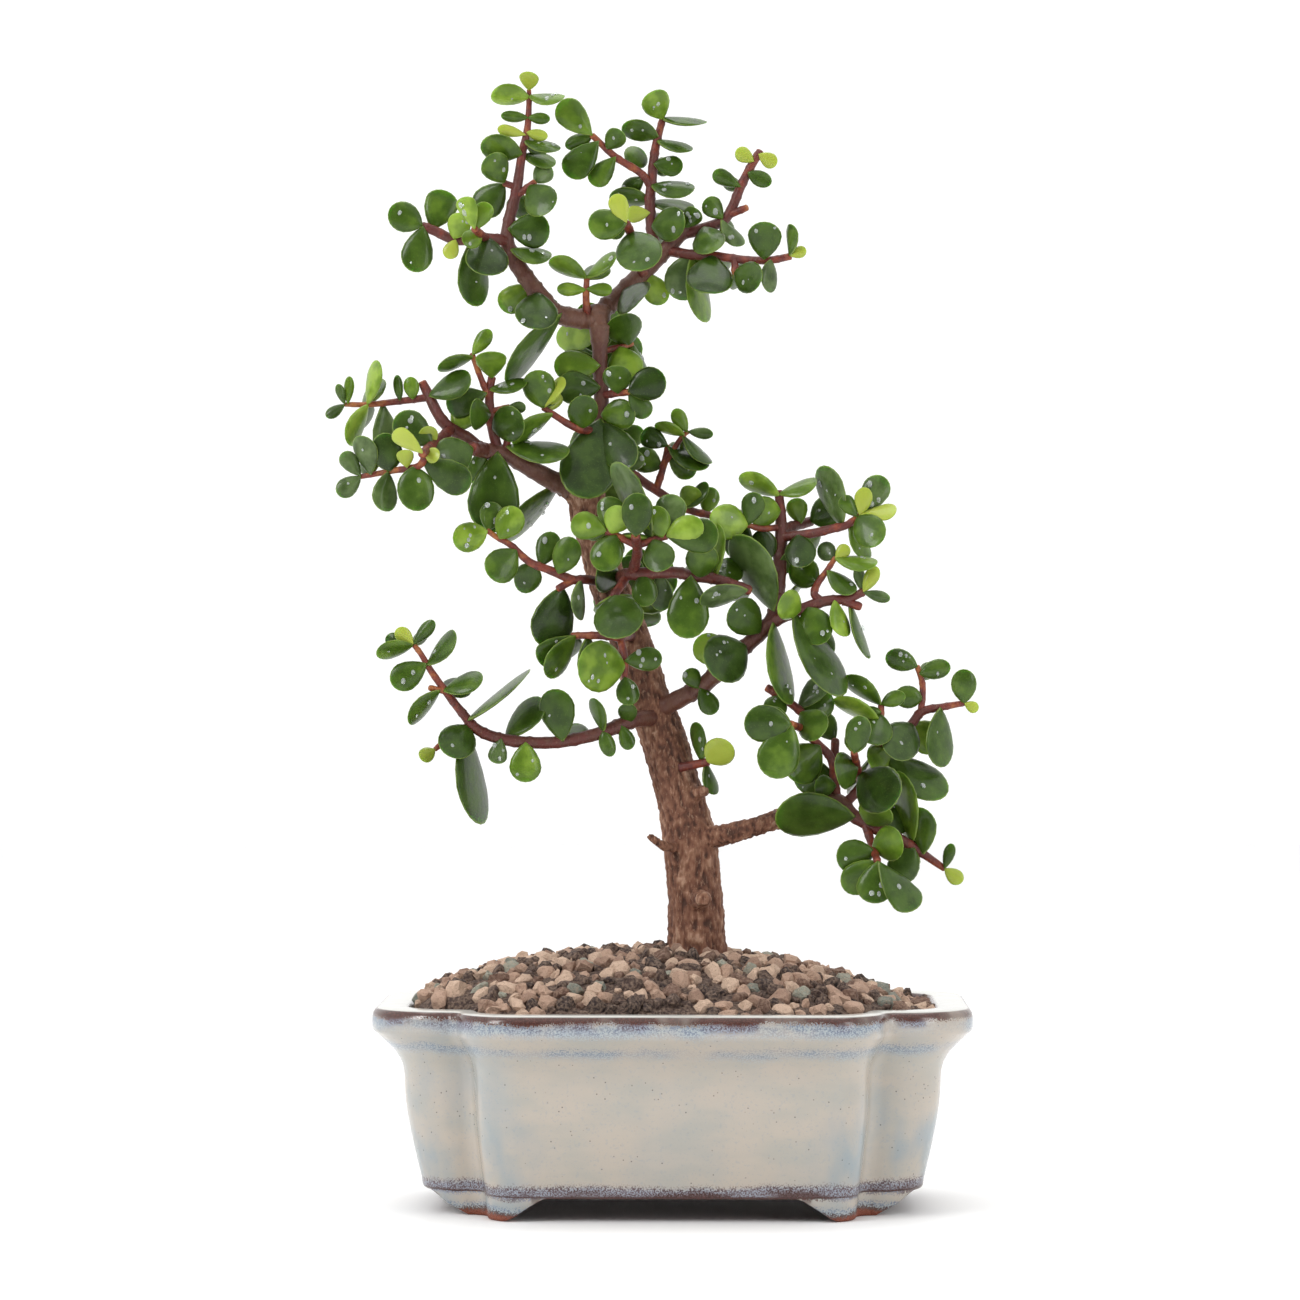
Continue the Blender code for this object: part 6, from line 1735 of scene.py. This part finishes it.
@dataclass
class Foliage:
    """All sprays: fine twigs, one blade for each leaf of the solids, and the drops on them."""

    stations: int = 9
    around: int = 12
    bellies: tuple[float, ...] = (0.48, 0.55, 0.62, 0.69, 0.76)
    sets: int = 2
    ring_apart: float = 4.2
    ring_swell: float = 0.14
    ring_sharp: float = 5.0
    twig_sides: int = 12
    drops: int = 420
    most_regained: float = 1.3
    fuller: float = 1.09
    leaf_finish: WaxyLeaf = field(default_factory=WaxyLeaf)
    twig_finish: TwigBark = field(default_factory=TwigBark)
    drop_finish: WaterDrop = field(default_factory=WaterDrop)

    def blade_shape(self, belly: float, bend: float, shift: Vector) -> Mesh:
        """Make one blade of unit length, width and thickness: root at the origin, tip along +Y, back up +Z.

        Args:
            belly: where it is widest.
            bend: how far its sides curl, 1 for as much as the solids.
            shift: where its waviness is read.

        Returns:
            The blade's mesh, with its distance from the rim as an attribute.
        """
        rim = [leaf_outline(belly, math.pi * i / 40) for i in range(41)]
        rim += [(along, -out) for along, out in rim]
        rim = np.array([(along, out * 0.45) for along, out in rim])
        rings = []
        for k in range(1, self.stations + 1):
            along, out = leaf_outline(belly, math.pi * k / (self.stations + 1))
            out = max(out, 0.12)
            wave = 1 + 0.05 * noise.noise(Vector((along * 3, 0, 0)) + shift)
            swell = (math.sin(math.pi * min(along * 1.1 + 0.05, 1.0)) ** 0.5) * 0.85 + 0.15
            if along > 0.9:
                swell *= 0.8
            ring = []
            for i in range(self.around):
                angle = 2 * math.pi * i / self.around
                side, lift = math.cos(angle), math.sin(angle)
                bow = bend * 0.25 * math.sin(math.pi * along) + bend * 0.23 * abs(side * out)
                dent = 0.06 * noise.noise(Vector((side, along * 2, 1.0)) + shift)
                ring.append((side * out * 0.5 * wave, along, lift * 0.5 * swell - bow + dent))
            rings.append(ring)
        points = [(0.0, -0.02, 0.0)] + [p for ring in rings for p in ring] + [(0.0, 1.0, -0.03 * bend)]
        count, last = self.around, len(points) - 1
        faces = [(0, 1 + (i + 1) % count, 1 + i) for i in range(count)]
        for k in range(self.stations - 1):
            low, high = 1 + k * count, 1 + (k + 1) * count
            faces += [(low + i, low + (i + 1) % count, high + (i + 1) % count, high + i) for i in range(count)]
        top = 1 + (self.stations - 1) * count
        faces += [(top + i, top + (i + 1) % count, last) for i in range(count)]
        mesh = bpy.data.meshes.new("blade")
        mesh.from_pydata(points, [], faces)
        mesh.validate()
        inside = [float(np.hypot(rim[:, 0] - y, rim[:, 1] - 0.9 * x).min()) for x, y, _ in points]
        set_attribute(mesh, "rim", "FLOAT", inside)
        return mesh

    def blade_shapes(self) -> Collection:
        """Make the few blades that every leaf is one of.

        Returns:
            The collection that holds them, in order of belly within each set.
        """
        group = bpy.data.collections.new("blade_shapes")
        chance = random.Random(SEED)
        for k in range(self.sets):
            for i, belly in enumerate(self.bellies):
                shift = Vector((chance.uniform(0, 90), chance.uniform(0, 90), 0.0))
                mesh = self.blade_shape(belly, 1.0 - 0.6 * k, shift)
                group.objects.link(bpy.data.objects.new(f"blade_{k}{i}", mesh))
        return group

    def put_on_points(self, tree: NodeTree, given: Node, feeds: dict[str, Any]) -> None:
        """Put instances on a group's points, turned and sized as each point says, and end the group.

        Args:
            tree: the group.
            given: its input node.
            feeds: what is put there.
        """
        turn = add_node(tree, "GeometryNodeInputNamedAttribute", {"Name": "turn"}, data_type="QUATERNION")
        size = add_node(tree, "GeometryNodeInputNamedAttribute", {"Name": "size"}, data_type="FLOAT_VECTOR")
        laid = add_node(tree, "GeometryNodeInstanceOnPoints", {
            "Points": given, "Rotation": turn, "Scale": size, **feeds})
        close_group(tree, laid, given.outputs["Finish"])

    def leaf_tree(self) -> NodeTree:
        """Make the node group that puts a blade on every point.

        Returns:
            The group.
        """
        tree, given = new_group("leafing", (("Blade Shapes", "NodeSocketCollection"), ("Finish", "NodeSocketMaterial")))
        pick = add_node(tree, "GeometryNodeInputNamedAttribute", {"Name": "shape"}, data_type="INT")
        shapes = add_node(tree, "GeometryNodeCollectionInfo", {
            "Collection": given.outputs["Blade Shapes"], "Separate Children": True, "Reset Children": True})
        self.put_on_points(tree, given, {
            "Instance": shapes, "Pick Instance": True, "Instance Index": pick})
        return tree

    def drop_tree(self) -> NodeTree:
        """Make the node group that puts a flattened drop on every point.

        Returns:
            The group.
        """
        tree, given = new_group("misting", (("Faces", "NodeSocketInt"), ("Finish", "NodeSocketMaterial")))
        bead = add_node(tree, "GeometryNodeMeshIcoSphere", {"Radius": 1.0, "Subdivisions": given.outputs["Faces"]})
        self.put_on_points(tree, given, {"Instance": bead})
        return tree

    def twig_tree(self) -> NodeTree:
        """Make the node group that skins twigs, with a swollen ring at every old leaf pair.

        Returns:
            The group.
        """
        tree, given = new_group("twig_skin", (
            ("Ring Apart", "NodeSocketFloat"), ("Ring Swell", "NodeSocketFloat"), ("Sides", "NodeSocketInt"),
            ("Finish", "NodeSocketMaterial")))
        radius = add_node(tree, "GeometryNodeInputRadius")
        marked = add_node(tree, "GeometryNodeStoreNamedAttribute", {
            "Geometry": given, "Name": "girth", "Value": radius}, data_type="FLOAT", domain="POINT")
        length = add_node(tree, "GeometryNodeSplineParameter").outputs["Length"]
        wide = length
        for operation, *others in (
                ("DIVIDE", given.outputs["Ring Apart"]), ("MULTIPLY", 2 * math.pi), ("COSINE",), ("MAXIMUM", 0.0),
                ("POWER", self.ring_sharp), ("MULTIPLY_ADD", given.outputs["Ring Swell"], 1.0), ("MULTIPLY", radius)):
            wide = add_node(tree, "ShaderNodeMath", dict(enumerate((wide, *others))), operation=operation)
        circle = add_node(tree, "GeometryNodeCurvePrimitiveCircle", {
            "Resolution": given.outputs["Sides"], "Radius": 1.0}, mode="RADIUS")
        skin = add_node(tree, "GeometryNodeCurveToMesh", {
            "Curve": marked, "Profile Curve": circle, "Scale": wide,
            "Fill Caps": True})
        close_group(tree, skin, given.outputs["Finish"])
        return tree

    def twigs(self, spray: Spray) -> Object:
        """Lay a spray's stems as curves that carry their thickness.

        Args:
            spray: the spray.

        Returns:
            The curve object.
        """
        data = bpy.data.curves.new(f"twigs_{spray.name}", "CURVE")
        data.dimensions = "3D"
        place = plant_place()
        for made in spray.stems:
            run = smooth_run(made, 0.8)
            end = Vector(run[-1][:3]) - Vector(run[-2][:3])
            end.normalize()
            points = [(Vector(p[:3]), float(p[3])) for p in run]
            last, radius = points[-1]
            points += [(last + end * radius * rise, radius * share) for rise, share in ((0.22, 0.9), (0.42, 0.6))]
            line = data.splines.new("POLY")
            line.points.add(len(points) - 1)
            for knot, (point, wide) in zip(line.points, points):
                knot.co = (*(place @ point), 1.0)
                knot.radius = wide * MM
        return add_object(f"twigs_{spray.name}", data)

    def cloud(self, name: str, spots: Sequence[Vector], turns: Sequence[Quaternion],
              sizes: Sequence[tuple[float, float, float]]) -> Object:
        """Make the points that blades or drops are put on."""
        mesh = bpy.data.meshes.new(name)
        mesh.from_pydata([tuple(s) for s in spots], [], [])
        turn = mesh.attributes.new("turn", "QUATERNION", "POINT")
        turn.data.foreach_set("value", np.array([tuple(t) for t in turns]).ravel())
        set_attribute(mesh, "size", "FLOAT_VECTOR", sizes)
        return add_object(name, mesh)

    def leaves(self, spray: Spray, placed: Sequence[Leaf], chance: random.Random) -> Object:
        """Lay a spray's leaves as points that carry how each one lies and looks."""
        place = plant_place()
        turning = Matrix.Rotation(POT_TURN, 3, "Z")
        # Light leaves get a high tone that paints light shining through them; dark leaves get a low one, partly their
        # own darker green and partly painted shade.
        tones = {Look.PLAIN: 0.5, Look.LIGHT: 0.82, Look.DARK: 0.3, Look.FROSTED: 0.42, Look.YOUNG: 0.85}
        turns, sizes, shapes, tone, frost, youth = [], [], [], [], [], []
        for leaf in placed:
            roll = Matrix.Rotation(math.radians(chance.uniform(-9, 9)), 3, leaf.axis)
            across = roll @ leaf.across
            back = across.cross(leaf.axis)
            axes = Matrix((across, leaf.axis, back)).transposed()
            turns.append((turning @ axes).to_quaternion())
            sizes.append((leaf.width * MM, leaf.length * MM, leaf.thick * MM))
            nearest = min(range(len(self.bellies)), key=lambda i: abs(self.bellies[i] - leaf.belly))
            shapes.append(nearest + len(self.bellies) * chance.randrange(self.sets))
            tone.append(tones[leaf.look] + chance.uniform(-0.12, 0.12))
            # Frosted leaves get a strong pale painted sheen, the rest a faint one.
            frost.append(chance.uniform(0.45, 0.75) if leaf.look is Look.FROSTED else chance.uniform(0.0, 0.1))
            youth.append(chance.uniform(0.6, 0.9) if leaf.look is Look.YOUNG else 0.0)
        made = self.cloud(f"leaves_{spray.name}", [place @ leaf.root for leaf in placed], turns, sizes)
        set_attribute(made.data, "shape", "INT", shapes)
        set_attribute(made.data, "tone", "FLOAT", tone)
        set_attribute(made.data, "frost", "FLOAT", frost)
        set_attribute(made.data, "youth", "FLOAT", youth)
        return made

    def mist(self, placed: Sequence[Leaf]) -> Object:
        """Lay drops on the broad leaves that face the viewer."""
        chance = random.Random(SEED + 1)
        facing = [leaf for leaf in placed if leaf.width > 5 and abs(leaf.axis.y) < 0.75 and leaf.look is not Look.YOUNG]
        place = plant_place()
        turning = Matrix.Rotation(POT_TURN, 3, "Z")
        spots, turns, sizes = [], [], []
        for _ in range(self.drops):
            leaf = chance.choice(facing)
            normal = leaf.axis.cross(leaf.across)
            out, along = chance.uniform(-0.6, 0.6), chance.uniform(0.3, 0.85)
            lift = -0.5 * leaf.thick * math.sqrt(1 - out * out) * 0.92
            bow = 0.25 * leaf.thick * math.sin(math.pi * along) + 0.23 * leaf.thick * abs(out)
            spots.append(place @ (leaf.root + leaf.axis * (along * leaf.length)
                                  + leaf.across * (out * leaf.width / 2) + normal * (lift + bow)))
            lean = (-normal + leaf.across * out * 0.35).normalized()
            turns.append((turning @ lean).to_track_quat("Z", "Y"))
            size = chance.uniform(0.25, 0.8) * MM
            sizes.append((size, size * chance.uniform(1.0, 1.5), size * 0.5))
        return self.cloud("mist_drops", spots, turns, sizes)

    def build(self) -> None:
        """Lay every leaf as the solids have it, then build and dress the twigs, the leaves and the drops."""
        obstacles = Obstacles()
        stems = {"trunk": trunk_stems(), **{spray.name: list(spray.stems) for spray in SPRAYS}}
        for name, group in stems.items():
            for made in group:
                obstacles.add((name, "stem"), *coarse_tube(made))
        shapes, leaf_tree, twig_tree = self.blade_shapes(), self.leaf_tree(), self.twig_tree()
        leaf_skin, twig_skin, drop_skin = (finish.material() for finish in (
            self.leaf_finish, self.twig_finish, self.drop_finish))
        chance, looks = random.Random(SEED), random.Random(SEED)
        everything = []
        for spray in SPRAYS:
            placed = self.lay(spray, obstacles, chance)
            everything += placed
            blades = grow(self.leaves(spray, placed, looks), leaf_tree, {"Blade Shapes": shapes, "Finish": leaf_skin})
            dress(blades, self.leaf_finish, leaf_skin, spray.name)
            twigs = grow(self.twigs(spray), twig_tree, {
                "Ring Apart": self.ring_apart * MM, "Ring Swell": self.ring_swell, "Sides": self.twig_sides,
                "Finish": twig_skin})
            dress(twigs, self.twig_finish, twig_skin, spray.name)
        drops = grow(self.mist(everything), self.drop_tree(), {"Faces": 2, "Finish": drop_skin})
        dress(drops, self.drop_finish, drop_skin)

    def lay(self, spray: Spray, obstacles: Obstacles, chance: random.Random) -> list[Leaf]:
        """Lay a spray's leaves in the order and by the rule of the solids.

        Args:
            spray: the spray.
            obstacles: what is there already; each leaf is added to it.
            chance: the source of the opposite leaves.

        Returns:
            The leaves as they lie.
        """
        wanted = [oval_leaf(spray.stems, *oval) for oval in spray.ovals]
        wanted += [blade_leaf(spray.stems, *blade) for blade in spray.blades]
        behind = [str(row[-1]).startswith("b") for row in (*spray.ovals, *spray.blades)]
        for leaf, away in zip(list(wanted), behind):
            if not away and leaf.length > OPPOSITE_FROM and chance.random() < OPPOSITE_SHARE:
                wanted.append(opposite_leaf(leaf))
        if spray.pairs:
            wanted += paired_leaves(spray.stems[0], spray.pairs)
        placed = []
        for leaf in wanted:
            settled = settle(leaf, spray.name, obstacles)
            if settled is None:
                continue
            obstacles.add((spray.name, "leaf"), *settled.coarse(settled.steps()))
            regained = min(leaf.width / settled.width, self.most_regained) * self.fuller
            settled.width, settled.length = settled.width * regained, settled.length * regained
            settled.root = settled.root + Vector((0.0, math.copysign(settled.collar, settled.axis.y), 0.0))
            placed.append(settled)
        return placed


# Studio

@dataclass
class Studio:
    """Pale seamless floor, soft boxes and the photograph's camera."""

    floor_half: float = 2.5
    paper_light: float = 1.12
    room_light: float = 0.16
    aim: tuple[float, float, float] = (0.0, 0.0, 0.14)
    boxes: tuple[tuple[str, tuple[float, float, float], float, float, float], ...] = (
        ("key_box", (-0.75, -0.7, 0.75), 0.35, 0.6, 6.2),
        ("fill_box", (0.85, -0.75, 0.45), 0.35, 0.7, 3.4),
        ("top_box", (0.0, 0.25, 1.1), 0.9, 0.6, 4.0))
    finish: PaperFloor = field(default_factory=PaperFloor)

    def camera(self) -> None:
        """Stand the camera where the photograph was taken from."""
        data = bpy.data.cameras.new("camera")
        data.lens, data.sensor_width = LENS, SENSOR
        data.clip_start, data.clip_end = 0.05, 20.0
        eye = add_object("camera", data)
        eye.location = plant_place() @ Vector((EYE_X, -EYE_DISTANCE, EYE_HEIGHT))
        eye.rotation_euler = (math.radians(90), 0.0, POT_TURN)
        bpy.context.scene.camera = eye

    def light(self, name: str, spot: tuple[float, float, float], width: float, height: float, power: float) -> None:
        """Hang a soft box that faces the middle of the tree.

        Args:
            name: the light's name.
            spot: where it hangs, in metres.
            width: its width in metres.
            height: its height in metres.
            power: its power in watts.
        """
        data = bpy.data.lights.new(name, "AREA")
        data.shape, data.size, data.size_y, data.energy = "RECTANGLE", width, height, power
        box = add_object(name, data)
        box.location = spot
        box.rotation_euler = (Vector(self.aim) - Vector(spot)).to_track_quat("-Z", "Y").to_euler()

    def build(self) -> None:
        """Build the floor, the lights and the camera."""
        half = self.floor_half
        paper = new_object("paper_floor", [(-half, -half, 0), (half, -half, 0), (half, half, 0), (-half, half, 0)],
                           [(0, 1, 2, 3)], Matrix.Identity(4))
        paper.data.materials.append(self.finish.material())
        for box in self.boxes:
            self.light(*box)
        world = bpy.data.worlds.new("studio_air")
        bpy.context.scene.world = world
        world.use_nodes = True
        tree = world.node_tree
        way = add_node(tree, "ShaderNodeTexCoord").outputs["Generated"]
        parts = add_node(tree, "ShaderNodeSeparateXYZ", {0: way})
        lit = add_node(tree, "ShaderNodeMath", {0: parts.outputs[2], 1: 0.9, 2: parts.outputs[1]},
                       operation="MULTIPLY_ADD")
        glow = add_node(tree, "ShaderNodeMapRange", {0: lit, 1: -0.6, 2: 0.25, 3: self.room_light, 4: self.paper_light},
                        interpolation_type="SMOOTHSTEP")
        feed(tree, tree.nodes["Background"].inputs["Strength"], glow)
        feed(tree, tree.nodes["Background"].inputs["Color"], linear("FFFFFF"))
        bpy.context.scene.view_settings.view_transform = "Standard"
        self.camera()


def main() -> None:
    """Build every piece in order."""
    logging.basicConfig(level=logging.INFO, format="%(message)s")
    Studio().build()
    pot = Pot()
    pot.build()
    DrainScreens().build()
    SoilBed(pot).build()
    Trunk().build()
    Foliage().build()
    bpy.context.view_layer.update()


if __name__ == "__main__":
    main()
